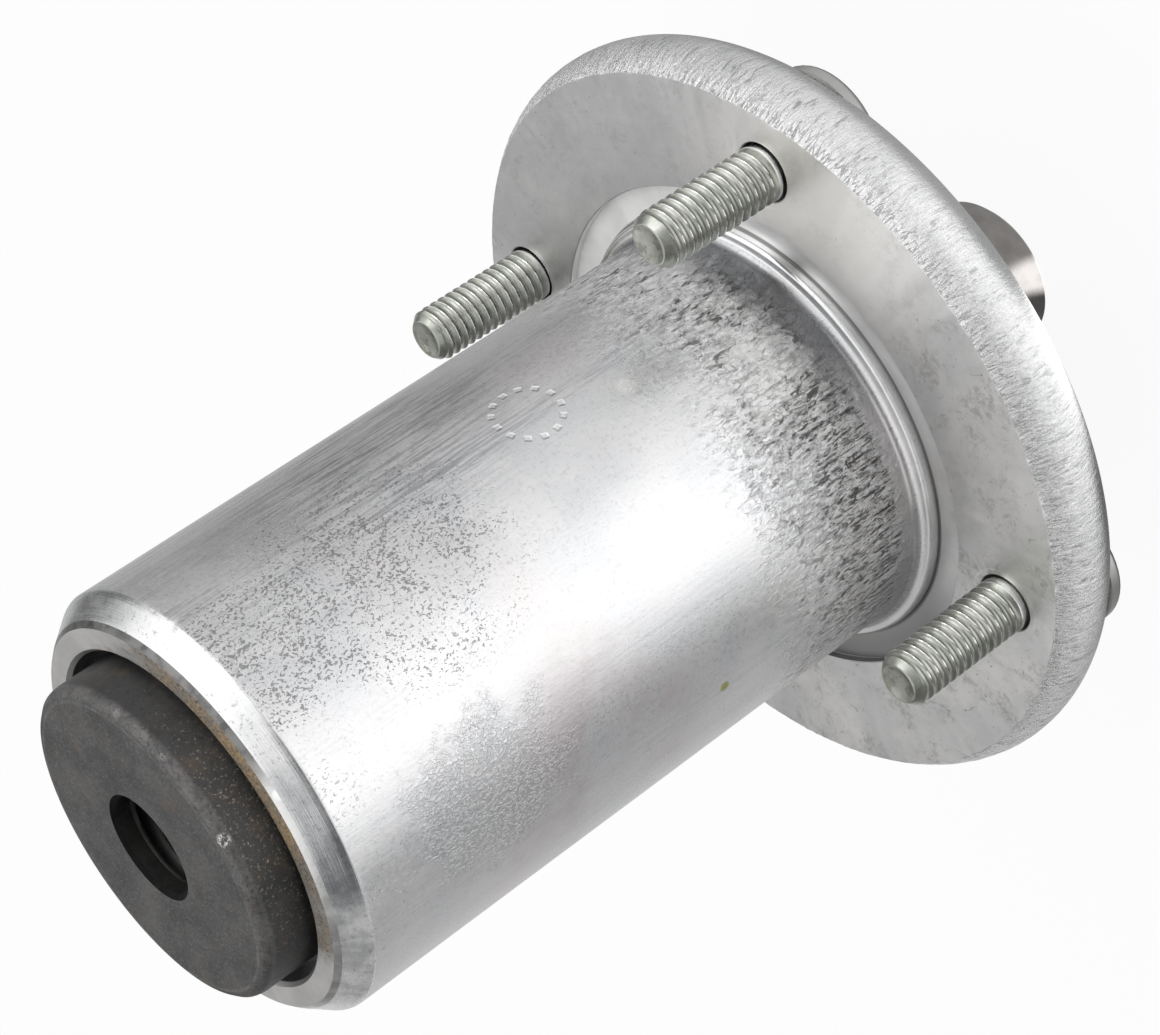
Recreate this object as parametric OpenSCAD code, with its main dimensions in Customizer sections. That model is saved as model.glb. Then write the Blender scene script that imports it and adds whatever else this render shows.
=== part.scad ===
// Blade spindle of a ride-on mower. A cast housing with four deck studs carries
// a shaft on two sealed ball bearings. The nose with the blade seat points up.
// The origin lies on the axis, in the plane of the deck face of the flange.

/* [Barrel] */
// Outside diameter of the barrel
barrel_d = 60.6; // [58:0.1:66]
// Height of the nose face above the deck face
barrel_h = 98.2; // [90:0.1:130]
// Radial width of the bevel round the nose
nose_bevel_w = 2.4; // [1:0.1:2.6]
// Height of the bevel round the nose
nose_bevel_h = 3.1; // [1:0.1:5]
// Width and height of the small lip inside the bevel
nose_lip = 0.7; // [0.3:0.1:0.9]
// Bevel at the edge of the mouth
mouth_bevel = 0.5; // [0.2:0.1:0.8]

/* [Foot] */
// Outside diameter of the turned foot of the barrel
foot_d = 64.8; // [64.4:0.1:66]
// Height of the top of the foot above the deck face
foot_rise = 0.4; // [0.2:0.1:2]
// Radius of the fillet between the barrel and its foot
foot_fillet = 1.5; // [0.8:0.1:1.5]
// Radius of the rounded edge of the foot
foot_round = 0.6; // [0.3:0.1:0.6]
// Diameter of the shallow recess round the foot
recess_d = 73.6; // [68:0.1:78]
// Depth of the shallow recess round the foot
recess_depth = 1.2; // [0.5:0.1:2]

/* [Flange] */
// Outside diameter of the flange
flange_d = 111; // [109:0.5:130]
// Thickness of the flange
flange_t = 12.2; // [11:0.1:13]
// Radius of the rounded rim
rim_round = 7.5; // [7:0.1:8]
// Depth of the middle of the rim's round below the deck face
rim_drop = 5.3; // [4.8:0.1:6]
// Outside diameter of the hub under the flange
hub_d = 59; // [57:0.1:61]
// Radius of the fillet between the hub and the flange
hub_fillet = 2; // [0.5:0.1:2.5]
// Bevel at the lower edge of the hub
hub_bevel = 1; // [0.3:0.1:1.5]

/* [Deck studs] */
// Number of studs
stud_count = 4; // [3:1:5]
// Diameter of the circle that the studs stand on
stud_circle_d = 90; // [88:0.1:92]
// Angle of the first stud
stud_angle = 45; // [0:1:90]
// Thread diameter of the studs
stud_d = 7.94; // [6:0.01:8.2]
// Length of the studs above the deck face
stud_h = 20; // [15:0.5:40]
// Height of the bevel on the tip of a stud
stud_tip = 1.1; // [0.5:0.1:1.5]
// Gap round a stud at the deck face
stud_gap = 0.4; // [0.3:0.05:0.6]
// Depth of that gap below the deck face
stud_gap_depth = 3; // [2:0.1:5]
// Depth of the relief neck of a stud between its thread and its grip
stud_neck = 0.4; // [0.2:0.05:0.6]
// Diameter of the splined grip of a stud
stud_grip_d = 8.4; // [8.3:0.1:9]
// Clearance of the grip in its hole, which the splines bridge
grip_gap = 0.05; // [0.02:0.01:0.1]
// Diameter of the head of a stud
stud_head_d = 18.8; // [14:0.1:19.4]
// Thickness of the head of a stud
stud_head_t = 2.3; // [1.6:0.1:3]
// Radius of the rounded edge of a stud head
stud_head_round = 1.2; // [0.4:0.1:1.4]
// Gap round a stud head in its seat
head_seat_gap = 0.6; // [0.3:0.1:1]
// Depth of the seat of a stud head in the flange
head_seat_depth = 2; // [0.5:0.1:2.5]

/* [Bearings] */
// Outside diameter of a bearing
bearing_od = 47.625; // [46:0.005:48]
// Bore of a bearing
bearing_bore = 22.225; // [20:0.005:22.5]
// Width of a bearing
bearing_w = 12.7; // [12.4:0.1:14]
// Number of balls in a bearing
ball_count = 9; // [7:1:9]
// Diameter of a ball
ball_d = 7.144; // [6.5:0.001:7.2]
// Radius of a race groove, in ball diameters
groove_ratio = 0.52; // [0.515:0.001:0.53]
// Running clearance of a ball in its groove
race_gap = 0.02; // [0.01:0.005:0.04]
// Space between the lands of the two rings
land_gap = 4.3; // [4:0.1:4.6]
// Bevel on the corners of the rings
ring_bevel = 0.6; // [0.3:0.1:0.8]
// Thickness of a seal
seal_t = 1.1; // [0.8:0.1:1.2]
// Depth of a seal below the face of its bearing
seal_inset = 0.6; // [0.4:0.1:0.7]
// Depth of the seal groove in the outer ring
seal_groove = 0.9; // [0.5:0.1:1.1]
// Running clearance of a seal lip on the inner ring
lip_gap = 0.05; // [0.02:0.01:0.1]
// Thickness of the pressed sheet of a cage
cage_t = 0.5; // [0.4:0.05:0.6]
// Radial width of a cage
cage_w = 2.7; // [2:0.1:3]
// Clearance of a ball in its cage pocket
pocket_gap = 0.12; // [0.08:0.01:0.15]
// Shank diameter of a cage rivet
rivet_d = 1; // [0.8:0.1:1.2]
// Head diameter of a cage rivet
rivet_head_d = 1.9; // [1.5:0.1:2.2]
// Head height of a cage rivet
rivet_head_h = 0.45; // [0.3:0.05:0.6]

/* [Bearing places] */
// Depth of the nose bearing below the nose face
nose_bearing_depth = 7.7; // [7:0.1:14]
// Depth of the pulley bearing below the deck face
pulley_bearing_depth = 5.3; // [4:0.1:8]
// Width of the shoulders that the bearings seat on
seat_shoulder = 2.4; // [1.5:0.1:3]

/* [Shaft] */
// Outside diameter of the blade seat disc
seat_d = 44.7; // [40:0.1:46]
// Height of the blade seat above the nose face
seat_rise = 6.25; // [4:0.05:12]
// Bevel round the blade seat
seat_bevel = 1.2; // [0.5:0.1:2]
// Bevel round the back of the blade seat disc
seat_back_bevel = 0.5; // [0.2:0.1:1]
// Height of the collar between the disc and the bearing
collar_h = 1.5; // [1:0.1:3]
// Outside diameter of that collar and of the spacer tube
collar_d = 28; // [26:0.1:29]
// Gap between the shaft and the spacer tube
spacer_gap = 0.2; // [0.05:0.05:0.5]
// Length of the shaft below the deck face
tail_l = 47.6; // [42:0.1:70]
// Bevel at the pulley end of the shaft
tail_bevel = 1; // [0.5:0.1:2]
// Bore of the blade bolt thread
blade_bore_d = 12.9; // [10:0.1:13.2]
// Depth of the blade bolt hole
blade_bore_depth = 40; // [20:1:55]
// Diameter of the mouth of the blade bolt hole
blade_mouth_d = 14.6; // [13.4:0.1:16]
// Bore of the pulley bolt thread
pulley_bore_d = 7.94; // [6:0.1:10]
// Depth of the pulley bolt hole
pulley_bore_depth = 26; // [15:1:30]
// Diameter of the mouth of the pulley bolt hole
pulley_mouth_d = 10; // [10:0.1:12]
// Width of the keyway
key_w = 4.8; // [3:0.1:6]
// Depth of the keyway in the shaft
key_depth = 2.4; // [1.5:0.1:3]
// Length of the keyway
key_l = 19; // [10:0.5:20]
// Distance of the keyway from the pulley end
key_inset = 3.5; // [2:0.5:4]

/* [Circlips] */
// Thickness of the circlip in the housing
housing_clip_t = 1.6; // [1.2:0.1:2]
// Depth of the circlip's groove in the housing
housing_clip_groove = 1.3; // [0.8:0.1:1.5]
// Radial width of the circlip in the housing
housing_clip_w = 3.4; // [2.5:0.1:3.8]
// Thickness of the circlip on the shaft
shaft_clip_t = 1.3; // [1:0.1:1.6]
// Depth of the circlip's groove in the shaft
shaft_clip_groove = 0.8; // [0.5:0.1:1]
// Radial width of the circlip on the shaft
shaft_clip_w = 2.9; // [2:0.1:3.2]
// Opening between the ends of a circlip, in degrees
clip_opening = 34; // [20:1:60]
// Diameter of the eye at each end of a circlip
clip_eye_d = 4.6; // [4:0.1:5]
// Distance of a circlip eye from the edge that sits in the groove
clip_eye_inset = 0.3; // [0.2:0.1:0.5]
// Diameter of the plier hole in a circlip eye
clip_hole_d = 2; // [1.5:0.1:2.2]
// Gap between a circlip's rim and the floor of its groove
clip_gap = 0.1; // [0.05:0.05:0.2]
// Metal of the hub below the circlip's groove
clip_land = 2; // [1.5:0.1:3]

/* [Hidden] */
$fn = 96;
// Cuts run this far past the surface that they open
past = 1;
// Shapes that are joined sink this far into each other
bite = 0.5;
// Angle of the point of a twist drill
drill_angle = 118;

nose_z = barrel_h - nose_bearing_depth;
nose_bearing_z = nose_z - bearing_w / 2;
pulley_z = -pulley_bearing_depth;
pulley_bearing_z = pulley_z - bearing_w / 2;
pulley_clip_z = pulley_z - bearing_w;
hub_z = pulley_clip_z - housing_clip_t - clip_land;
seat_z = barrel_h + seat_rise;
barrel_r = barrel_d / 2;
foot_r = foot_d / 2;
bearing_r = bearing_od / 2;
shaft_r = bearing_bore / 2;
pitch_r = (bearing_od + bearing_bore) / 4;
ball_r = ball_d / 2;
groove_r = groove_ratio * ball_d;
inner_land_r = pitch_r - land_gap / 2;
outer_land_r = pitch_r + land_gap / 2;
rim_r = flange_d / 2 - rim_round;
head_seat_z = head_seat_depth - flange_t;

BEARINGS = ["nose", "pulley"];
BALLS = [for (b = BEARINGS) for (i = [1:ball_count]) str(b, "_ball_", i)];
BEARING_PARTS = ["outer_ring", "inner_ring", "upper_seal", "lower_seal", "upper_cage", "lower_cage", "cage_rivets"];

// Every stud place on the flange
module at_studs() {
    for (i = [0:stud_count - 1])
        rotate(stud_angle + i * 360 / stud_count) translate([stud_circle_d / 2, 0, 0]) children();
}

// Every ball place of a bearing, or with a half step the places between the balls
module at_balls(step = 0) {
    for (i = [0:ball_count - 1]) rotate((i + step) * 360 / ball_count) translate([pitch_r, 0, 0]) children();
}

// The height of a bearing's middle
function bearing_z(bearing) = bearing == "nose" ? nose_bearing_z : pulley_bearing_z;

// Upright wall of the barrel with its bevelled nose and lip
module barrel_outline() {
    lip_r = barrel_r - nose_bevel_w;
    polygon([
        [0, -bite],
        [barrel_r, -bite],
        [barrel_r, barrel_h - nose_lip - nose_bevel_h],
        [lip_r, barrel_h - nose_lip],
        [lip_r - nose_lip, barrel_h],
        [0, barrel_h]
    ]);
}

// Turned foot with a rounded edge and a hollow fillet to the barrel
module foot_outline() {
    translate([0, -recess_depth - bite]) square([foot_r, recess_depth + bite + foot_rise - foot_round]);
    square([foot_r - foot_round, foot_rise]);
    translate([foot_r - foot_round, foot_rise - foot_round]) circle(foot_round);
    difference() {
        translate([barrel_r - bite, 0]) square([bite + foot_fillet, foot_rise + foot_fillet]);
        translate([barrel_r + foot_fillet, foot_rise + foot_fillet]) circle(foot_fillet);
    }
}

// Flange with its full round rim
module flange_outline() {
    translate([0, -flange_t]) square([rim_r, flange_t]);
    intersection() {
        translate([rim_r, -rim_drop]) circle(rim_round);
        translate([rim_r - rim_round, -flange_t]) square([2 * rim_round + bite, flange_t]);
    }
}

// Hub below the flange with its hollow fillet
module hub_outline() {
    hub_r = hub_d / 2;
    polygon([
        [0, hub_z],
        [hub_r - hub_bevel, hub_z],
        [hub_r, hub_z + hub_bevel],
        [hub_r, -flange_t + bite],
        [0, -flange_t + bite]
    ]);
    difference() {
        translate([hub_r - bite, -flange_t - hub_fillet]) square([bite + hub_fillet, hub_fillet + bite]);
        translate([hub_r + hub_fillet, -flange_t - hub_fillet]) circle(hub_fillet);
    }
}

// Stepped bore of the housing, with the groove of its circlip
module housing_bore() {
    seat_r = bearing_r - seat_shoulder;
    translate([0, 0, hub_z - past]) cylinder(h = barrel_h - hub_z + 2 * past, r = seat_r);
    translate([0, 0, nose_z - bearing_w]) cylinder(h = nose_bearing_depth + bearing_w + past, r = bearing_r);
    translate([0, 0, hub_z - past]) cylinder(h = pulley_z - hub_z + past, r = bearing_r);
    translate([0, 0, pulley_clip_z - housing_clip_t])
        cylinder(h = housing_clip_t, r = bearing_r + housing_clip_groove);
    translate([0, 0, barrel_h - mouth_bevel])
        cylinder(h = mouth_bevel + past, r1 = bearing_r, r2 = bearing_r + mouth_bevel + past);
}

// Hole and spot-faced seat of one stud, as a tool to cut with
module stud_seat() {
    translate([0, 0, -flange_t - past]) cylinder(h = flange_t + 2 * past, d = stud_grip_d + 2 * grip_gap);
    translate([0, 0, -stud_gap_depth]) cylinder(h = stud_gap_depth + past, d = stud_d + 2 * stud_gap);
    translate([0, 0, -flange_t - past]) cylinder(h = head_seat_depth + past, d = stud_head_d + 2 * head_seat_gap);
}

module housing() {
    color("lightgray") difference() {
        rotate_extrude() {
            barrel_outline();
            foot_outline();
            difference() {
                flange_outline();
                translate([foot_r - bite, -recess_depth]) square([recess_d / 2 - foot_r + bite, recess_depth + past]);
            }
            hub_outline();
        }
        housing_bore();
        at_studs() stud_seat();
    }
}

// One stud: threaded shank, relief neck, splined grip and round-edged head
module stud() {
    shank_r = stud_d / 2;
    head_r = stud_head_d / 2;
    grip_z = -stud_gap_depth;
    rotate_extrude() {
        polygon([
            [0, head_seat_z - bite],
            [stud_grip_d / 2, head_seat_z - bite],
            [stud_grip_d / 2, grip_z],
            [shank_r - stud_neck, grip_z],
            [shank_r - stud_neck, 0],
            [shank_r, 0],
            [shank_r, stud_h - stud_tip],
            [shank_r - stud_tip, stud_h],
            [0, stud_h]
        ]);
        translate([0, head_seat_z - stud_head_t]) intersection() {
            square([head_r, stud_head_t]);
            union() {
                square([head_r - stud_head_round, stud_head_t]);
                translate([0, stud_head_round]) square([head_r, stud_head_t - stud_head_round]);
                translate([head_r - stud_head_round, stud_head_round]) circle(stud_head_round);
            }
        }
    }
}

module deck_studs() {
    color("khaki") at_studs() stud();
}

// Shaft with the blade seat disc forged on its upper end
module spindle_shaft() {
    seat_r = seat_d / 2;
    disc_z = nose_z + collar_h;
    end_z = -tail_l;
    color("dimgray") difference() {
        rotate_extrude() polygon([
            [0, end_z],
            [shaft_r - tail_bevel, end_z],
            [shaft_r, end_z + tail_bevel],
            [shaft_r, pulley_clip_z - shaft_clip_t],
            [shaft_r - shaft_clip_groove, pulley_clip_z - shaft_clip_t],
            [shaft_r - shaft_clip_groove, pulley_clip_z],
            [shaft_r, pulley_clip_z],
            [shaft_r, nose_z],
            [collar_d / 2, nose_z],
            [collar_d / 2, disc_z],
            [seat_r - seat_back_bevel, disc_z],
            [seat_r, disc_z + seat_back_bevel],
            [seat_r, seat_z - seat_bevel],
            [seat_r - seat_bevel, seat_z],
            [0, seat_z]
        ]);
        translate([0, 0, seat_z]) mirror([0, 0, 1]) bolt_hole(blade_bore_d, blade_bore_depth, blade_mouth_d);
        translate([0, 0, end_z]) bolt_hole(pulley_bore_d, pulley_bore_depth, pulley_mouth_d);
        keyway();
    }
}

// Drilled hole with a countersunk mouth, going up from its mouth at height 0
module bolt_hole(bore_d, depth, mouth_d) {
    sink = (mouth_d - bore_d) / 2;
    point_h = bore_d / 2 / tan(drill_angle / 2);
    translate([0, 0, -past]) cylinder(h = depth + past, d = bore_d);
    translate([0, 0, depth]) cylinder(h = point_h, d1 = bore_d, d2 = 0);
    translate([0, 0, -past]) cylinder(h = sink + past, d1 = mouth_d + 2 * past, d2 = bore_d);
}

// Milled keyway with round ends, on the side away from the first stud
module keyway() {
    low_z = -tail_l + key_inset + key_w / 2;
    rotate(stud_angle + 180) translate([shaft_r - key_depth, 0, 0]) rotate([0, 90, 0])
        linear_extrude(key_depth + past) {
            translate([-low_z, 0]) circle(d = key_w);
            translate([-low_z - key_l + key_w, 0]) circle(d = key_w);
            translate([-low_z - key_l + key_w, -key_w / 2]) square([key_l - key_w, key_w]);
        }
}

// Tube that holds the inner rings of the two bearings apart
module spacer_tube() {
    h = nose_z - bearing_w - pulley_z;
    color("slategray") translate([0, 0, pulley_z]) difference() {
        cylinder(h = h, d = collar_d);
        translate([0, 0, -past]) cylinder(h = h + 2 * past, r = shaft_r + spacer_gap);
    }
}

// Open ring with an eye at each end; the eyes stand inside or outside its middle line
module circlip(inner_r, outer_r, t, eyes_inside) {
    eye_r = clip_eye_d / 2;
    eye_at = eyes_inside ? outer_r - clip_eye_inset - eye_r : inner_r + clip_eye_inset + eye_r;
    reach = 2 * outer_r;
    half = clip_opening / 2;
    linear_extrude(t) difference() {
        union() {
            difference() {
                circle(outer_r);
                circle(inner_r);
                polygon([[0, 0], [reach * cos(half), -reach * sin(half)], [reach * cos(half), reach * sin(half)]]);
            }
            for (side = [-1, 1]) rotate(side * half) translate([eye_at, 0]) circle(eye_r);
        }
        for (side = [-1, 1]) rotate(side * half) translate([eye_at, 0]) circle(d = clip_hole_d);
    }
}

module housing_circlip() {
    outer_r = bearing_r + housing_clip_groove - clip_gap;
    color("darkslategray") translate([0, 0, pulley_clip_z - housing_clip_t])
        circlip(outer_r - housing_clip_w, outer_r, housing_clip_t, true);
}

module shaft_circlip() {
    inner_r = shaft_r - shaft_clip_groove + clip_gap;
    color("darkslategray") translate([0, 0, pulley_clip_z - shaft_clip_t]) rotate(180)
        circlip(inner_r, inner_r + shaft_clip_w, shaft_clip_t, false);
}

// Cross section of a ring between two radii, with its corners bevelled
module ring_outline(r1, r2, bevel_in, bevel_out) {
    top = bearing_w / 2;
    polygon([
        [r1 + bevel_in, -top],
        [r2 - bevel_out, -top],
        [r2, -top + bevel_out],
        [r2, top - bevel_out],
        [r2 - bevel_out, top],
        [r1 + bevel_in, top],
        [r1, top - bevel_in],
        [r1, -top + bevel_in]
    ]);
}

// Ring that is pressed into the housing, with its race and seal grooves
module outer_ring() {
    race_r = pitch_r + ball_r + race_gap - groove_r;
    groove_z = bearing_w / 2 - seal_inset - seal_t;
    color("silver") rotate_extrude() difference() {
        ring_outline(outer_land_r, bearing_r, 0, ring_bevel);
        translate([race_r, 0]) circle(groove_r);
        for (side = [0, 1]) mirror([0, side])
            translate([outer_land_r - bite, groove_z]) square([bite + seal_groove, seal_t]);
    }
}

// Ring that turns with the shaft
module inner_ring() {
    race_r = pitch_r - ball_r - race_gap + groove_r;
    color("silver") rotate_extrude() difference() {
        ring_outline(shaft_r, inner_land_r, ring_bevel, 0);
        translate([race_r, 0]) circle(groove_r);
    }
}

// Rubber seal with a steel web: its rim snaps into the outer ring
module seal() {
    lip_r = inner_land_r + lip_gap;
    rim_r = outer_land_r + seal_groove;
    low = bearing_w / 2 - seal_inset - seal_t;
    high = low + seal_t;
    web = seal_t / 4;
    color("saddlebrown") rotate_extrude() polygon([
        [lip_r, low],
        [lip_r + web, low],
        [lip_r + 3 * web, low + web],
        [outer_land_r - web, low + web],
        [outer_land_r, low],
        [rim_r, low],
        [rim_r, high],
        [outer_land_r, high],
        [outer_land_r - web, high - web],
        [lip_r + 4 * web, high - web],
        [lip_r + 2 * web, high],
        [lip_r, high]
    ]);
}

// One pressed half of a cage: flat webs, and a cup over each ball
module half_cage() {
    inner_r = pitch_r - cage_w / 2;
    cup_r = ball_r + pocket_gap;
    color("tan") difference() {
        intersection() {
            union() {
                cylinder(h = cage_t, r = pitch_r + cage_w);
                at_balls() sphere(cup_r + cage_t);
            }
            difference() {
                cylinder(h = bearing_w, r = pitch_r + cage_w / 2);
                translate([0, 0, -past]) cylinder(h = bearing_w + 2 * past, r = inner_r);
            }
        }
        at_balls() sphere(cup_r);
        at_balls(0.5) translate([0, 0, -past]) cylinder(h = cage_t + 2 * past, d = rivet_d);
    }
}

// Rivet through the two halves of a cage
module rivet() {
    cylinder(h = 2 * cage_t, d = rivet_d, center = true);
    for (side = [0, 1]) mirror([0, 0, side]) translate([0, 0, cage_t])
        cylinder(h = rivet_head_h, d1 = rivet_head_d, d2 = rivet_d);
}

module cage_rivets() {
    color("gold") at_balls(0.5) rivet();
}

// One ball; the first lies on the X axis
module ball(i) {
    color("whitesmoke") rotate((i - 1) * 360 / ball_count) translate([pitch_r, 0, 0]) sphere(ball_r);
}

housing();
deck_studs();
housing_circlip();
spindle_shaft();
spacer_tube();
shaft_circlip();
for (b = BEARINGS) translate([0, 0, bearing_z(b)]) {
    outer_ring();
    inner_ring();
    seal();
    mirror([0, 0, 1]) seal();
    half_cage();
    mirror([0, 0, 1]) half_cage();
    cage_rivets();
    for (i = [1:ball_count]) {
        ball(i);
    }
}
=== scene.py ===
"""Looks of the blade spindle: a cast aluminium housing, zinc plated studs and a dark steel shaft."""

import math

import bmesh
import bpy
from mathutils import Matrix, Quaternion, Vector, noise


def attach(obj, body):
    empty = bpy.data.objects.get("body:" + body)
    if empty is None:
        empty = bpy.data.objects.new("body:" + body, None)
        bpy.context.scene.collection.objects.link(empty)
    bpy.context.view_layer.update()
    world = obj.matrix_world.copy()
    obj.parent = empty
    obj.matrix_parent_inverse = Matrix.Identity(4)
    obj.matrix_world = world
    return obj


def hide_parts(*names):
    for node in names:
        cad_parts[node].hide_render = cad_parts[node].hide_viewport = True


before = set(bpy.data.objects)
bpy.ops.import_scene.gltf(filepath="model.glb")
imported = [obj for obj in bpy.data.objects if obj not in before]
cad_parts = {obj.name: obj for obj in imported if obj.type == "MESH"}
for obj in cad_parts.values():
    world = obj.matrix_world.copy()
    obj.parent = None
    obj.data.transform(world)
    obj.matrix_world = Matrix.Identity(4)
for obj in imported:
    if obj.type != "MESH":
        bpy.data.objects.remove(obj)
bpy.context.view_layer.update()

MM = 0.001
TURN = 2 * math.pi

# Sizes in millimetres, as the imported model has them
BARREL_R = 30.3
NOSE_Z = 98.2
BEVEL_W = 2.4
BEVEL_H = 3.1
LIP = 0.7
MOUTH_BEVEL = 0.5
FOOT_R = 32.4
FOOT_Z = 0.4
FOOT_FILLET = 1.5
FOOT_ROUND = 0.6
RECESS_R = 36.8
RECESS_Z = -1.2
RIM_R = 48.0
RIM_ROUND = 7.5
RIM_Z = -5.3
BACK_Z = -12.2
HUB_R = 29.5
HUB_Z = -21.6
HUB_FILLET = 2.0
HUB_BEVEL = 1.0
BORE_R = 23.8125
SHOULDER_R = 21.4125
NOSE_BEARING_Z = 77.8
PULLEY_BEARING_Z = -5.3
CLIP_Z = -18.0
CLIP_T = 1.6
CLIP_R = 25.1125
STUD_CIRCLE_R = 45.0
STUD_ANGLES = (45, 135, 225, 315)
STUD_R = 3.97
STUD_TOP = 20.0
STUD_PITCH = 1.411
STUD_GAP = 0.27
STUD_GAP_DEPTH = 3.0
GRIP_R = 4.2
HEAD_R = 9.4
HEAD_T = 2.3
HEAD_ROUND = 1.2
SEAT_Z = -10.2
SEAT_R = 10.0
DISC_R = 22.35
DISC_Z = 104.45
DISC_LOW = 92.0
DISC_BEVEL = 1.2
COLLAR_R = 14.0
COLLAR_LOW = 90.5
SHAFT_R = 11.1125
TAIL_Z = -47.6
TAIL_BEVEL = 1.0
GROOVE_Z = -18.0
GROOVE_T = 1.3
GROOVE_R = 10.3125
BOLT_R = 6.45
BOLT_MOUTH_R = 7.6
BOLT_DEPTH = 40.0
BOLT_PITCH = 2.117
PULLEY_BOLT_R = 3.97
PULLEY_MOUTH_R = 5.0
PULLEY_DEPTH = 26.0
PULLEY_PITCH = 1.3
KEY_ANGLE = 225
KEY_W = 4.8
KEY_DEPTH = 2.4
KEY_LOW = -44.1
KEY_HIGH = -25.1


# Places of single marks on the barrel: (angle in degrees, height in millimetres)
PIT_PLACE = (35.0, 70.0)
LEATHER_PLACE = (-28.0, 74.0)
WARM_PLACE = (-36.0, 56.0)
FLECK_PLACE = (-44.2, 36.2)
PALE_PLACE = (36.3, 28.5)
SCORED_PLACE = (68.0, 58.0)
# Middle and radius of the ring of small nicks on the barrel, and how many there are
RING_PLACE = (45.3, 40.8)
RING_R = 4.5
RING_COUNT = 13
# Angles in degrees of single chips: on the outer edge of the nose and on its lip
NOTCH_ANGLES = (50.0, 36.2)
LIP_CHIP_ANGLE = 2.3
# The chips of the disc's edge: angle, size in millimetres and how pale
DISC_CHIPS = ((-1.7, 1.1, 1.0), (30.3, 0.8, 0.12), (52.8, 0.8, 0.1))
# Sides of the part that carry more dirt or dark metal, in degrees; some of them, and the deck's place in millimetres,
# mark where painted shade or a painted highlight goes into the colour
DUST_ANGLE = 8
STREAK_ANGLE = -30
PIT_ANGLE = 32
CLEAR_ANGLE = -25
RECESS_SHADE_ANGLE = -105
RECESS_PALE_ANGLE = 110
BEVEL_PALE_ANGLE = -62
RIM_SHADE_ANGLE = -4
SHADE_ANGLE = 75
DECK_SHADE_ANGLE = 95
BEVEL_SHADE_ANGLES = (-14, 98)
DECK_HIGHLIGHT_PLACE = (34.8, 23.5, 0.0)


def arc(centre, radius, start, end, steps):
    """Points on a round of the section, from one angle in degrees to another."""
    points = []
    for i in range(steps + 1):
        a = math.radians(start + (end - start) * i / steps)
        points.append((centre[0] + radius * math.cos(a), centre[1] + radius * math.sin(a)))
    return points


def line(start, end, step):
    """Points on a straight stretch of the section, its end left out."""
    length = math.dist(start, end)
    count = max(1, round(length / step))
    return [
        (start[0] + (end[0] - start[0]) * i / count, start[1] + (end[1] - start[1]) * i / count)
        for i in range(count)
    ]


def mesh_object(name, vertices, faces, materials=(), indices=None):
    """A mesh of points in millimetres, with one material index a face."""
    mesh = bpy.data.meshes.new(name)
    mesh.from_pydata([(x * MM, y * MM, z * MM) for x, y, z in vertices], [], faces)
    for material in materials:
        mesh.materials.append(material)
    if indices:
        mesh.polygons.foreach_set("material_index", indices)
    mesh.validate()
    mesh.update()
    piece = bpy.data.objects.new(name, mesh)
    bpy.context.scene.collection.objects.link(piece)
    return piece


def smooth(piece, angle=30):
    """Smooth shading, with the edges sharper than the angle kept crisp."""
    piece.data.shade_smooth()
    piece.data.set_sharp_from_angle(angle=math.radians(angle))
    return piece


def zip_rows(a, b):
    """Triangles or quads between two rings of points that may have different counts."""
    n, m = len(a), len(b)
    if n == m:
        return [(a[i], b[i], b[(i + 1) % n], a[(i + 1) % n]) for i in range(n)]
    faces = []
    i = j = 0
    while i < n or j < m:
        if j >= m or (i < n and (i + 1) * m <= (j + 1) * n):
            faces.append((a[i % n], b[j % m], a[(i + 1) % n]))
            i += 1
        else:
            faces.append((a[i % n], b[j % m], b[(j + 1) % m]))
            j += 1
    return faces


def turned(name, rows, materials, closed=True, relief=None):
    """A revolved solid. Each row is (radius, height, point count, material index, relief name)."""
    vertices, rings, faces, indices = [], [], [], []
    for r, z, count, _, kind in rows:
        if r < 1e-6:
            rings.append([len(vertices)])
            vertices.append((0, 0, z))
            continue
        rings.append(list(range(len(vertices), len(vertices) + count)))
        for i in range(count):
            a = TURN * i / count
            rr, zz = relief(r, z, a, kind) if relief and kind else (r, z)
            vertices.append((rr * math.cos(a), rr * math.sin(a), zz))
    pairs = len(rows) if closed else len(rows) - 1
    for k in range(pairs):
        low, high = rings[k], rings[(k + 1) % len(rows)]
        if len(low) == 1 and len(high) == 1:
            continue
        if len(low) == 1:
            made = [(low[0], high[i], high[(i + 1) % len(high)]) for i in range(len(high))]
        elif len(high) == 1:
            made = [(low[i], high[0], low[(i + 1) % len(low)]) for i in range(len(low))]
        else:
            made = zip_rows(low, high)
        faces += made
        indices += [rows[k][3]] * len(made)
    return mesh_object(name, vertices, faces, materials, indices)


def facing_out(piece):
    """Turns the faces of a closed piece outwards."""
    work = bmesh.new()
    work.from_mesh(piece.data)
    bmesh.ops.recalc_face_normals(work, faces=work.faces)
    work.to_mesh(piece.data)
    work.free()
    return piece


def cut(piece, tools):
    """Cuts closed tools out of a closed piece and removes the tools."""
    for tool in tools:
        modifier = piece.modifiers.new("cut", "BOOLEAN")
        modifier.operation = "DIFFERENCE"
        modifier.solver = "MANIFOLD"
        modifier.object = tool
    bpy.context.view_layer.update()
    graph = bpy.context.evaluated_depsgraph_get()
    made = bpy.data.meshes.new_from_object(piece.evaluated_get(graph))
    piece.modifiers.clear()
    old = piece.data
    piece.data = made
    bpy.data.meshes.remove(old)
    for tool in tools:
        bpy.data.objects.remove(tool)
    return piece


# Materials


def new_material(name):
    """An empty material, its tree and its shader."""
    material = bpy.data.materials.new(name)
    material.use_nodes = True
    tree = material.node_tree
    return material, tree, tree.nodes["Principled BSDF"]


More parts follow.
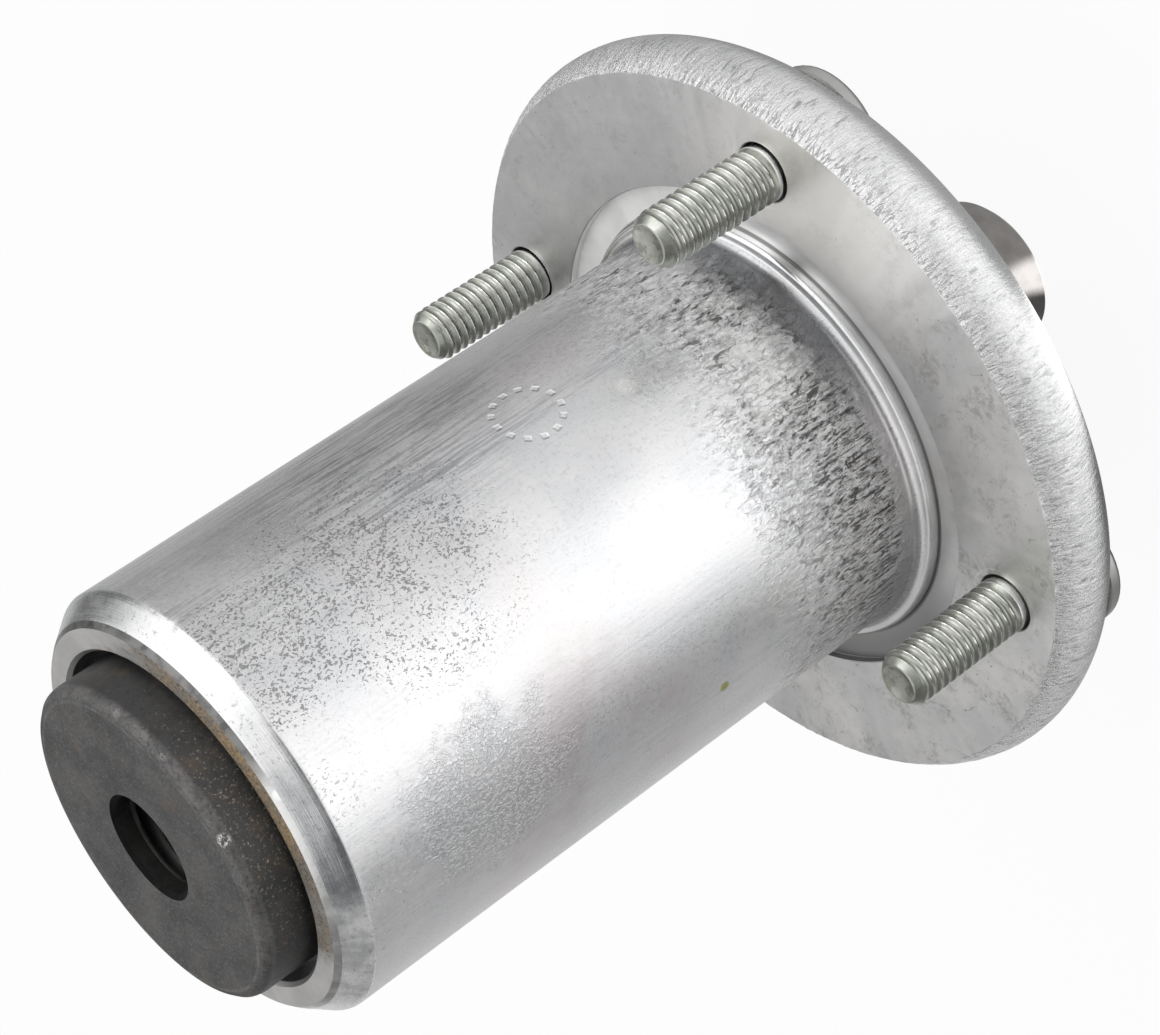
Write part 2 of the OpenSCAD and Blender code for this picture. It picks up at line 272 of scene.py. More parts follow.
def add(tree, kind, values=(), **settings):
    """A node with its settings and inputs; an input is a value or another node's output."""
    made = tree.nodes.new(kind)
    for key, value in settings.items():
        setattr(made, key, value)
    for key, value in dict(values).items():
        if isinstance(value, bpy.types.NodeSocket):
            tree.links.new(value, made.inputs[key])
        else:
            made.inputs[key].default_value = value
    return made


def place(tree, scale=(1, 1, 1), offset=(0, 0, 0)):
    """The place on the object in millimetres, stretched by a scale."""
    coordinate = add(tree, "ShaderNodeTexCoord").outputs["Object"]
    values = {"Vector": coordinate, "Scale": [1000 * s for s in scale], "Location": offset}
    return add(tree, "ShaderNodeMapping", values).outputs["Vector"]


def grain(tree, vector, scale, detail=4, rough=0.5, warp=0.0):
    """Fractal noise from 0 to 1."""
    values = {"Vector": vector, "Scale": scale, "Detail": detail, "Roughness": rough, "Distortion": warp}
    return add(tree, "ShaderNodeTexNoise", values).outputs["Fac"]


def span(tree, value, low, high, to_low=0.0, to_high=1.0, kind="SMOOTHSTEP"):
    """Maps a value from one range to another, held at its ends."""
    values = {"Value": value, "From Min": low, "From Max": high, "To Min": to_low, "To Max": to_high}
    return add(tree, "ShaderNodeMapRange", values, interpolation_type=kind).outputs["Result"]


def sums(tree, operation, a, b=0.0, c=0.0):
    """One step of arithmetic."""
    return add(tree, "ShaderNodeMath", {0: a, 1: b, 2: c}, operation=operation).outputs[0]


def tint(tree, share, a, b, mode="MIX"):
    """A mix of two colours."""
    made = tree.nodes.new("ShaderNodeMix")
    made.data_type = "RGBA"
    made.blend_type = mode
    for socket, value in ((made.inputs[0], share), (made.inputs[6], a), (made.inputs[7], b)):
        if isinstance(value, bpy.types.NodeSocket):
            tree.links.new(value, socket)
        elif isinstance(value, (int, float)):
            socket.default_value = value
        else:
            socket.default_value = (*value, 1)
    return made.outputs[2]


def raised(tree, height, distance, normal=None, strength=1.0):
    """Bump from a height; the distance is in millimetres."""
    values = {"Height": height, "Distance": distance * MM, "Strength": strength}
    if normal:
        values["Normal"] = normal
    return add(tree, "ShaderNodeBump", values).outputs["Normal"]


def polar(tree):
    """Radius, height and the two parts of the outward direction at a place, in millimetres."""
    x, y, z = add(tree, "ShaderNodeSeparateXYZ", {0: place(tree)}).outputs
    squares = sums(tree, "ADD", sums(tree, "MULTIPLY", x, x), sums(tree, "MULTIPLY", y, y))
    radius = sums(tree, "MAXIMUM", sums(tree, "SQRT", squares), 0.001)
    return radius, z, sums(tree, "DIVIDE", x, radius), sums(tree, "DIVIDE", y, radius)


def ringed(tree, along, turn, scale, detail=4, rough=0.7):
    """Noise in fine rings about the axis; turn is how fast it changes round a ring."""
    _, _, out_x, out_y = polar(tree)
    vector = joined(tree, along, sums(tree, "MULTIPLY", out_x, turn), sums(tree, "MULTIPLY", out_y, turn))
    return grain(tree, vector, scale, detail, rough)


def joined(tree, x, y, z):
    """A vector from three values."""
    return add(tree, "ShaderNodeCombineXYZ", {0: x, 1: y, 2: z}).outputs[0]


def finish_with(tree, shader, colour=None, rough=None, normal=None):
    """Links colour, roughness and normal to the shader."""
    for socket, value in (("Base Color", colour), ("Roughness", rough), ("Normal", normal)):
        if value is not None:
            tree.links.new(value, shader.inputs[socket])


def on_barrel(place_on):
    """The point in millimetres of a place on the barrel, given by its angle and height."""
    a = math.radians(place_on[0])
    return (BARREL_R * math.cos(a), BARREL_R * math.sin(a), place_on[1])


def toward(tree, degrees):
    """How far a place faces one side: 1 on that side, -1 on the opposite one."""
    _, _, out_x, out_y = polar(tree)
    a = math.radians(degrees)
    return sums(tree, "ADD", product(tree, out_x, math.cos(a)), product(tree, out_y, math.sin(a)))


def near(tree, spot, inner, outer):
    """1 at a place on the object, in millimetres, fading to 0 between two distances."""
    gap = add(tree, "ShaderNodeVectorMath", {0: place(tree), 1: spot}, operation="DISTANCE").outputs["Value"]
    return span(tree, gap, outer, inner)


def product(tree, *values):
    """All the values multiplied."""
    total = values[0]
    for value in values[1:]:
        total = sums(tree, "MULTIPLY", total, value)
    return total


def wrinkles(tree, vector, scale, width, detail=2, warp=0.5):
    """Thin curved lines that break the surface, 1 in the middle of each."""
    off_middle = sums(tree, "ABSOLUTE", sums(tree, "SUBTRACT", grain(tree, vector, scale, detail, 0.5, warp), 0.5))
    return span(tree, off_middle, width, width * 0.2)


def barrel_metal():
    """As-cast aluminium: cloudy, with drawn scratches, pits by the nose and creases by the foot."""
    material, tree, shader = new_material("barrel_aluminium")
    shader.inputs["Metallic"].default_value = 1
    _, height, _, _ = polar(tree)
    mm = place(tree)
    drawn = place(tree, (1, 1, 0.05))
    cloud = grain(tree, mm, 0.07, 4, 0.6)
    fine = grain(tree, mm, 1.6, 5, 0.7)
    scratch = grain(tree, drawn, 2.2, 6, 0.75)
    scratch_where = span(tree, grain(tree, drawn, 0.16, 4), 0.4, 0.6)
    pits = barrel_pits(tree, height, mm)
    nicks = ring_nicks(tree, height)
    band, zone, creases, strokes = foot_marks(tree, height, mm)
    pale = tint(tree, span(tree, cloud, 0.35, 0.65), (0.75, 0.755, 0.77), (0.86, 0.86, 0.865))
    warm = tint(tree, span(tree, grain(tree, mm, 0.045, 3), 0.45, 0.7, 0, 0.6), pale, (0.80, 0.765, 0.755))
    clear = span(tree, toward(tree, CLEAR_ANGLE), 0.3, 0.8, 1, 0.3)
    darker_share = product(tree, scratch_where, span(tree, scratch, 0.42, 0.6, 0, 0.6), clear)
    colour = tint(tree, darker_share, warm, (0.42, 0.425, 0.44))
    scored = product(tree, near(tree, on_barrel(SCORED_PLACE), 8, 24), span(tree, scratch, 0.45, 0.58))
    colour = tint(tree, product(tree, scored, 0.6), colour, (0.3, 0.3, 0.315))
    colour = tint(tree, span(tree, fine, 0.50, 0.34, 0, 0.26), colour, (0.42, 0.42, 0.43))
    flush = product(tree, near(tree, on_barrel(WARM_PLACE), 6, 22), span(tree, cloud, 0.4, 0.6))
    colour = tint(tree, product(tree, flush, 0.55), colour, (0.52, 0.44, 0.45))
    leather, cells = leather_marks(tree, mm)
    colour = tint(tree, product(tree, leather, 0.36), colour, (0.46, 0.465, 0.48))
    colour = tint(tree, product(tree, leather, cells, 0.5), colour, (0.97, 0.97, 0.98))
    colour = tint(tree, product(tree, pits, 0.66), colour, (0.16, 0.158, 0.155))
    colour = tint(tree, product(tree, nicks, 0.5), colour, (0.98, 0.98, 0.98))
    crumple = grain(tree, place(tree, (1, 1, 0.45)), 1.35, 5, 0.7, 0.3)
    colour = tint(tree, product(tree, zone, span(tree, crumple, 0.50, 0.56)), colour, (0.98, 0.98, 0.985))
    colour = tint(tree, product(tree, zone, span(tree, crumple, 0.45, 0.39), 0.65), colour, (0.17, 0.17, 0.17))
    colour = tint(tree, product(tree, band, 0.84), colour, (0.135, 0.14, 0.15))
    colour = tint(tree, product(tree, span(tree, strokes, 0.47, 0.40), 0.85), colour, (0.12, 0.12, 0.125))
    colour = tint(tree, product(tree, span(tree, strokes, 0.60, 0.68), 0.7), colour, (0.95, 0.95, 0.95))
    colour = tint(tree, product(tree, creases, 0.9), colour, (0.10, 0.097, 0.093))
    colour = tint(tree, product(tree, near(tree, on_barrel(FLECK_PLACE), 0.5, 0.95), 0.85), colour, (0.42, 0.41, 0.06))
    colour = tint(tree, product(tree, near(tree, on_barrel(PALE_PLACE), 0.7, 1.7), 0.85), colour, (0.95, 0.95, 0.95))
    rough = sums(tree, "ADD", span(tree, cloud, 0.3, 0.7, 0.25, 0.36), span(tree, fine, 0.3, 0.7, -0.04, 0.07))
    high = raised(tree, fine, 0.035)
    high = raised(tree, scratch, 0.025, high)
    high = raised(tree, product(tree, pits, -1), 0.10, high)
    high = raised(tree, product(tree, nicks, -1), 0.12, high)
    high = raised(tree, product(tree, cells, leather), 0.06, high)
    high = raised(tree, product(tree, crumple, zone), 0.5, high)
    high = raised(tree, product(tree, creases, -1), 0.3, high)
    high = raised(tree, strokes, 0.45, high)
    finish_with(tree, shader, colour, rough, high)
    return material


def barrel_pits(tree, height, mm):
    """Small dark pits, crowded on one side of the nose and thin elsewhere."""
    thin = span(tree, height, 78, 95, 0, 0.25)
    strip = product(tree, span(tree, toward(tree, PIT_ANGLE), 0.92, 0.99), span(tree, height, 46, 66))
    spread = sums(tree, "MAXIMUM", sums(tree, "MAXIMUM", thin, near(tree, on_barrel(PIT_PLACE), 4, 24)), strip)
    patch = span(tree, grain(tree, mm, 0.2, 4, 0.65), 0.38, 0.58, 0.3, 1)
    crowd = product(tree, spread, patch)
    speck = grain(tree, place(tree, (1, 1, 0.8)), 2.9, 2, 0.55, 0.6)
    level = sums(tree, "ADD", speck, product(tree, crowd, 0.122))
    return product(tree, span(tree, level, 0.64, 0.70), span(tree, crowd, 0.03, 0.45))


def leather_marks(tree, mm):
    """A patch of leathery skin near the nose: where it is, and its small pale cells."""
    ragged = product(tree, sums(tree, "SUBTRACT", grain(tree, mm, 0.25, 4, 0.65), 0.5), 22)
    spot = on_barrel(LEATHER_PLACE)
    gap = add(tree, "ShaderNodeVectorMath", {0: mm, 1: spot}, operation="DISTANCE").outputs["Value"]
    leather = span(tree, sums(tree, "ADD", gap, ragged), 14, 6)
    cells = span(tree, grain(tree, place(tree, (1, 1, 0.8)), 2.7, 2, 0.6, 0.3), 0.48, 0.58)
    return leather, cells


def ring_nicks(tree, height):
    """A ring of small shell-shaped nicks on the side of the barrel."""
    centre = on_barrel(RING_PLACE)
    aside = math.radians(RING_PLACE[0] + 90)
    offset = add(tree, "ShaderNodeVectorMath", {0: place(tree), 1: centre}, operation="SUBTRACT").outputs["Vector"]
    tangent = (math.cos(aside), math.sin(aside), 0)
    across = add(tree, "ShaderNodeVectorMath", {0: offset, 1: tangent}, operation="DOT_PRODUCT").outputs["Value"]
    along = sums(tree, "SUBTRACT", height, centre[2])
    squares = sums(tree, "ADD", product(tree, across, across), product(tree, along, along))
    off_ring = sums(tree, "ABSOLUTE", sums(tree, "SUBTRACT", sums(tree, "SQRT", squares), RING_R))
    turn = product(tree, sums(tree, "ARCTAN2", along, across), RING_COUNT)
    marks = span(tree, sums(tree, "COSINE", turn), -0.2, 0.7)
    facing = span(tree, toward(tree, RING_PLACE[0]), 0.8, 0.9)
    return product(tree, span(tree, off_ring, 0.6, 0.2), marks, facing)


def foot_marks(tree, height, mm):
    """The dark band at the foot, the rough zone, its creases and the dense strokes of one side."""
    wobble = sums(tree, "SUBTRACT", grain(tree, mm, 0.3, 5, 0.65), 0.5)
    low = sums(tree, "ADD", height, product(tree, wobble, 10))
    side = span(tree, toward(tree, STREAK_ANGLE), 0.55, 0.9)
    dark_side = span(tree, toward(tree, SHADE_ANGLE), 0.05, 0.6, 0.25, 1)
    band = product(tree, span(tree, low, 10.5, 3.5), span(tree, height, 0.5, 1.4, 0.1, 1), dark_side)
    zone_patch = span(tree, grain(tree, mm, 0.16, 3, 0.6), 0.38, 0.55, 0.35, 1)
    zone = product(tree, span(tree, low, 30, 12), span(tree, low, 2.0, 5.5), zone_patch)
    patch = span(tree, grain(tree, mm, 0.5, 3, 0.6), 0.42, 0.58)
    slits = span(tree, grain(tree, place(tree, (1, 1, 0.36)), 1.25, 3, 0.62, 0.6), 0.42, 0.38)
    short_lines = wrinkles(tree, place(tree, (1, 1, 0.5)), 1.1, 0.04, 2, 0.6)
    short_lines = product(tree, short_lines, span(tree, patch, 0, 1, 0.5, 0.1))
    share = product(tree, span(tree, low, 24, 9), span(tree, height, 2.6, 4.4), side)
    dense_slits = span(tree, grain(tree, place(tree, (1, 1, 0.22)), 2.3, 3, 0.6, 0.4), 0.43, 0.39)
    creases = product(tree, sums(tree, "MAXIMUM", slits, short_lines), zone)
    creases = sums(tree, "MAXIMUM", creases, product(tree, dense_slits, share))
    stroke = grain(tree, place(tree, (1, 1, 0.26)), 2.3, 4, 0.7, 0.4)
    plain = sums(tree, "SUBTRACT", 1.0, share)
    strokes = sums(tree, "ADD", product(tree, stroke, share), product(tree, plain, 0.56))
    return band, zone, creases, strokes


def turned_metal(name, colour_a, colour_b, rough, line_scale=5.0, groove=0.015, duller=0.0):
    """Turned aluminium with fine rings, groove millimetres deep and duller on one side."""
    material, tree, shader = new_material(name)
    shader.inputs["Metallic"].default_value = 1
    radius, height, _, _ = polar(tree)
    rings = ringed(tree, sums(tree, "SUBTRACT", radius, height), 0.5, line_scale)
    cloud = grain(tree, place(tree), 0.16, 5, 0.6)
    speck = span(tree, grain(tree, place(tree), 1.9, 4, 0.7), 0.58, 0.7)
    colour = tint(tree, span(tree, cloud, 0.35, 0.65), colour_a, colour_b)
    colour = tint(tree, product(tree, speck, 0.35), colour, (0.35, 0.34, 0.33))
    level = sums(tree, "ADD", span(tree, rings, 0.3, 0.7, rough - 0.05, rough + 0.07), span(tree, cloud, 0.3, 0.7, 0, 0.08))
    level = sums(tree, "ADD", level, span(tree, toward(tree, STREAK_ANGLE), 0.4, 0.95, 0, duller))
    finish_with(tree, shader, colour, level, raised(tree, rings, groove))
    return material


def bevel_metal():
    """The brushed bevel round the nose, with painted shade on two sides where the photo shows it grey."""
    material, tree, shader = new_material("nose_bevel_aluminium")
    radius, height, _, _ = polar(tree)
    rings = ringed(tree, sums(tree, "SUBTRACT", radius, height), 0.5, 5)
    cloud = grain(tree, place(tree), 0.2, 5, 0.65)
    fine = grain(tree, place(tree), 1.4, 4, 0.7)
    colour = tint(tree, span(tree, cloud, 0.35, 0.65), (0.76, 0.765, 0.77), (0.9, 0.9, 0.905))
    # Painted shade: the bevel is darkened on two sides, standing in for darker reflections there.
    shade_a = span(tree, toward(tree, BEVEL_SHADE_ANGLES[0]), 0.90, 0.985)
    shade_b = span(tree, toward(tree, BEVEL_SHADE_ANGLES[1]), 0.80, 0.97)
    darker_share = product(tree, sums(tree, "MAXIMUM", shade_a, shade_b), span(tree, cloud, 0.3, 0.6, 1, 0.6))
    colour = tint(tree, product(tree, darker_share, 0.75), colour, (0.36, 0.37, 0.385))
    colour = tint(tree, product(tree, span(tree, fine, 0.56, 0.66), 0.5), colour, (0.3, 0.3, 0.3))
    chalky = product(tree, span(tree, toward(tree, BEVEL_PALE_ANGLE), 0.7, 0.93), span(tree, cloud, 0.3, 0.6, 0.5, 1))
    tree.links.new(span(tree, chalky, 0, 1, 1, 0.45), shader.inputs["Metallic"])
    rough = sums(tree, "ADD", span(tree, rings, 0.3, 0.7, 0.14, 0.26), span(tree, cloud, 0.3, 0.7, 0, 0.1))
    finish_with(tree, shader, colour, rough, raised(tree, rings, 0.02))
    return material


def nose_metal():
    """Turned face of the nose, with granular brown and rust coloured dirt on one side."""
    material, tree, shader = new_material("nose_face_aluminium")
    shader.inputs["Metallic"].default_value = 1
    radius, height, _, _ = polar(tree)
    mm = place(tree)
    rings = ringed(tree, sums(tree, "SUBTRACT", radius, height), 0.5, 6)
    cloud = grain(tree, mm, 0.16, 5, 0.6)
    grit = grain(tree, mm, 2.3, 4, 0.8)
    facing = toward(tree, DUST_ANGLE)
    colour = tint(tree, span(tree, cloud, 0.35, 0.65), (0.66, 0.655, 0.645), (0.78, 0.77, 0.76))
    ragged = sums(tree, "ADD", facing, span(tree, cloud, 0.3, 0.7, -0.22, 0.22))
    dirty = span(tree, ragged, 0.35, 0.75)
    colour = tint(tree, product(tree, dirty, 0.82), colour, (0.26, 0.225, 0.18))
    rust = product(tree, span(tree, ragged, 0.72, 0.98), span(tree, grit, 0.46, 0.56))
    colour = tint(tree, product(tree, rust, 0.9), colour, (0.62, 0.42, 0.20))
    dust = product(tree, dirty, span(tree, grit, 0.56, 0.64))
    colour = tint(tree, product(tree, dust, 0.6), colour, (0.62, 0.57, 0.50))
    dark = product(tree, dirty, span(tree, grit, 0.45, 0.38))
    colour = tint(tree, product(tree, dark, 0.85), colour, (0.06, 0.052, 0.045))
    level = sums(tree, "ADD", span(tree, rings, 0.3, 0.7, 0.36, 0.48), product(tree, dirty, 0.2))
    high = raised(tree, rings, 0.015)
    high = raised(tree, product(tree, grit, dirty), 0.2, high)
    finish_with(tree, shader, colour, level, high)
    return material


def lip_metal():
    """The narrow lip of the nose: dark on one side and bright with one chip on the other."""
    material, tree, shader = new_material("nose_lip_aluminium")
    shader.inputs["Metallic"].default_value = 1
    mm = place(tree)
    cloud = grain(tree, mm, 0.5, 4, 0.6)
    darkened = span(tree, toward(tree, SHADE_ANGLE), 0.28, 0.5)
    colour = tint(tree, span(tree, cloud, 0.35, 0.65), (0.72, 0.715, 0.71), (0.86, 0.855, 0.85))
    # Darker towards the side of SHADE_ANGLE.
    colour = tint(tree, product(tree, darkened, span(tree, cloud, 0.3, 0.6, 0.95, 0.8)), colour, (0.09, 0.088, 0.086))
    a = math.radians(LIP_CHIP_ANGLE)
    lip_r = BARREL_R - BEVEL_W
    chip = near(tree, (lip_r * math.cos(a), lip_r * math.sin(a), NOSE_Z - LIP), 0.5, 0.9)
    colour = tint(tree, chip, colour, (0.95, 0.95, 0.94))
    finish_with(tree, shader, colour, span(tree, cloud, 0.3, 0.7, 0.26, 0.4), raised(tree, cloud, 0.05))
    return material


def recess_metal():
    """The sunken ring round the foot: pale and smooth, less metallic on one side, with painted shade on the other side,
    next to the foot and in its inner corner.
    """
    material, tree, shader = new_material("recess_aluminium")
    radius, _, _, _ = polar(tree)
    cloud = grain(tree, place(tree), 0.2, 4, 0.6)
    fine = grain(tree, place(tree), 1.6, 4, 0.65)
    colour = tint(tree, span(tree, cloud, 0.35, 0.65), (0.86, 0.855, 0.85), (0.94, 0.935, 0.93))
    # Painted shade on one side of the recess.
    dark_side = span(tree, toward(tree, RECESS_SHADE_ANGLE), 0.45, 0.85)
    colour = tint(tree, product(tree, dark_side, 0.8), colour, (0.16, 0.16, 0.165))
    chalky = span(tree, toward(tree, RECESS_PALE_ANGLE), 0.3, 0.9)
    # Painted shade next to the foot, except on the less metallic side.
    shade_by_foot = product(tree, span(tree, radius, FOOT_R + 2.6, FOOT_R + 0.4), sums(tree, "SUBTRACT", 1.0, chalky))
    colour = tint(tree, product(tree, shade_by_foot, 0.45), colour, (0.42, 0.41, 0.40))
    tree.links.new(span(tree, chalky, 0, 1, 1, 0.35), shader.inputs["Metallic"])
    # Painted shade: a dark line in the inner corner against the foot.
    corner_shade = span(tree, radius, FOOT_R + 0.6, FOOT_R + 0.25)
    colour = tint(tree, product(tree, corner_shade, 0.8), colour, (0.10, 0.098, 0.096))
    finish_with(tree, shader, colour, span(tree, cloud, 0.3, 0.7, 0.36, 0.46), raised(tree, fine, 0.01))
    return material


def deck_metal():
    """Smooth blotchy aluminium of the deck face, with stains, specks and a few short scratches, a painted highlight on
    one side and painted shade on another.
    """
    material, tree, shader = new_material("deck_face_aluminium")
    shader.inputs["Metallic"].default_value = 1
    mm = place(tree)
    cloud = grain(tree, mm, 0.06, 5, 0.6, 0.4)
    blotch = grain(tree, mm, 0.4, 5, 0.65)
    stain = span(tree, grain(tree, mm, 0.13, 6, 0.7, 0.6), 0.5, 0.64)
    marks = grain(tree, mm, 0.9, 5, 0.75)
    scuff = product(tree, wrinkles(tree, place(tree, (0.35, 1, 1)), 0.3, 0.006, 1, 0.2), span(tree, blotch, 0.52, 0.6))
    speck = span(tree, grain(tree, mm, 1.3, 2, 0.5), 0.70, 0.74)
    colour = tint(tree, span(tree, cloud, 0.3, 0.7), (0.72, 0.72, 0.725), (0.84, 0.83, 0.815))
    colour = tint(tree, span(tree, blotch, 0.4, 0.7, 0, 0.35), colour, (0.60, 0.595, 0.585))
    colour = tint(tree, product(tree, stain, span(tree, marks, 0.4, 0.6), 0.75), colour, (0.45, 0.445, 0.43))
    colour = tint(tree, product(tree, scuff, 0.6), colour, (0.3, 0.3, 0.3))
    colour = tint(tree, product(tree, speck, 0.7), colour, (0.16, 0.15, 0.14))
    # Painted highlight: a broad pale patch on one side of the deck.
    colour = tint(tree, product(tree, near(tree, DECK_HIGHLIGHT_PLACE, 8, 26), 0.75), colour, (0.97, 0.95, 0.91))
    # Painted shade: the deck is darkened towards one side.
    colour = tint(tree, span(tree, toward(tree, DECK_SHADE_ANGLE), 0.55, 0.95, 0, 0.6), colour, (0.5, 0.5, 0.505))
    hole = stud_radius(tree)
    # Pale wear in a thin ring round each stud hole.
    wear_and_highlight = product(tree, span(tree, hole, 5.35, 5.2), span(tree, hole, 4.95, 5.05), span(tree, cloud, 0.42, 0.58))
    colour = tint(tree, product(tree, wear_and_highlight, 0.7), colour, (0.93, 0.925, 0.9))
    rough = sums(tree, "ADD", span(tree, cloud, 0.3, 0.7, 0.40, 0.50), span(tree, marks, 0.3, 0.7, -0.05, 0.05))
    finish_with(tree, shader, colour, rough, raised(tree, blotch, 0.03))
    return material


def rim_metal():
    """Coarse cast aluminium of the rim, with fine stripes across its round, a painted highlight towards the face and
    painted shade on one side.
    """
    material, tree, shader = new_material("rim_aluminium")
    shader.inputs["Metallic"].default_value = 1
    radius, height, out_x, out_y = polar(tree)
    down = sums(tree, "SUBTRACT", height, RIM_Z)
    lean = sums(tree, "ARCTAN2", down, sums(tree, "SUBTRACT", radius, RIM_R))
    round_r = RIM_R + RIM_ROUND
    path = product(tree, lean, RIM_ROUND * 0.22)
    across = joined(tree, product(tree, out_x, round_r), product(tree, out_y, round_r), path)
    stripe = grain(tree, across, 1.4, 6, 0.72, 0.3)
    thin = grain(tree, across, 4.4, 4, 0.72)
    fine = grain(tree, place(tree), 2.2, 5, 0.7)
    cloud = grain(tree, place(tree), 0.09, 3)
    coarse = span(tree, lean, -0.55, 0.2, 0.22, 1)
    by_face = span(tree, lean, 0.15, 0.75)
    lines = wrinkles(tree, across, 1.5, 0.04, 3, 0.5)
    colour = tint(tree, span(tree, cloud, 0.35, 0.65), (0.84, 0.845, 0.85), (0.93, 0.93, 0.935))
    # Painted highlight: the rim's round is painted near white towards the face.
    colour = tint(tree, by_face, colour, (0.99, 0.99, 0.99))
    middle = product(tree, coarse, span(tree, by_face, 0, 1, 1, 0.3))
    colour = tint(tree, product(tree, span(tree, stripe, 0.53, 0.63), coarse), colour, (0.99, 0.99, 0.99))
    colour = tint(tree, product(tree, span(tree, stripe, 0.47, 0.36), middle, 0.75), colour, (0.32, 0.32, 0.325))
    colour = tint(tree, product(tree, span(tree, thin, 0.44, 0.32), middle, 0.5), colour, (0.36, 0.36, 0.365))
    colour = tint(tree, product(tree, lines, by_face, 0.5), colour, (0.25, 0.25, 0.255))
    # Painted shade on one side of the rim.
    colour = tint(tree, span(tree, toward(tree, RIM_SHADE_ANGLE), 0.9, 1.0, 0, 0.35), colour, (0.58, 0.585, 0.59))
    rough = span(tree, fine, 0.3, 0.7, 0.2, 0.3)
    high = raised(tree, product(tree, stripe, coarse), 0.34)
    high = raised(tree, product(tree, thin, coarse), 0.12, high)
    high = raised(tree, product(tree, lines, by_face, -1), 0.12, high)
    high = raised(tree, fine, 0.04, high)
    finish_with(tree, shader, colour, rough, high)
    return material


def stud_radius(tree):
    """Distance from the axis of the nearest stud, in millimetres."""
    x, y, _ = add(tree, "ShaderNodeSeparateXYZ", {0: place(tree)}).outputs
    off = STUD_CIRCLE_R * math.cos(math.radians(STUD_ANGLES[0]))
    gaps = [sums(tree, "SUBTRACT", sums(tree, "ABSOLUTE", part), off) for part in (x, y)]
    squares = [sums(tree, "MULTIPLY", gap, gap) for gap in gaps]
    return sums(tree, "SQRT", sums(tree, "ADD", *squares))


def zinc():
    """Zinc plating with a slight yellow green cast, and painted highlights on the thread crests."""
    material, tree, shader = new_material("zinc_plating")
    shader.inputs["Metallic"].default_value = 1
    mm = place(tree)
    cloud = grain(tree, mm, 0.35, 4, 0.6)
    fine = grain(tree, mm, 4, 3, 0.6)
    from_axis = stud_radius(tree)
    crest = product(tree, span(tree, from_axis, STUD_R - 0.11, STUD_R - 0.03), span(tree, from_axis, STUD_R + 0.2, STUD_R + 0.1))
    head = span(tree, from_axis, 5.5, 6.5)
    colour = tint(tree, span(tree, cloud, 0.3, 0.7), (0.35, 0.365, 0.32), (0.53, 0.54, 0.495))
    colour = tint(tree, product(tree, head, 0.8), colour, (0.5, 0.5, 0.49))
    # Painted highlight: a thin near white line along each thread crest.
    colour = tint(tree, product(tree, crest, 0.8), colour, (0.93, 0.935, 0.92))
    _, height, _, _ = polar(tree)
    tip = product(tree, span(tree, height, STUD_TOP - 0.5, STUD_TOP - 0.4), span(tree, from_axis, 2.75, 2.45))
    darkened = product(tree, tip, span(tree, grain(tree, mm, 0.4, 4, 0.7), 0.52, 0.42))
    colour = tint(tree, product(tree, darkened, 0.7), colour, (0.22, 0.21, 0.18))
    rough = sums(tree, "ADD", span(tree, crest, 0, 1, 0.3, 0.16), span(tree, fine, 0.3, 0.7, -0.03, 0.06))
    finish_with(tree, shader, colour, rough, raised(tree, fine, 0.012))
    return material


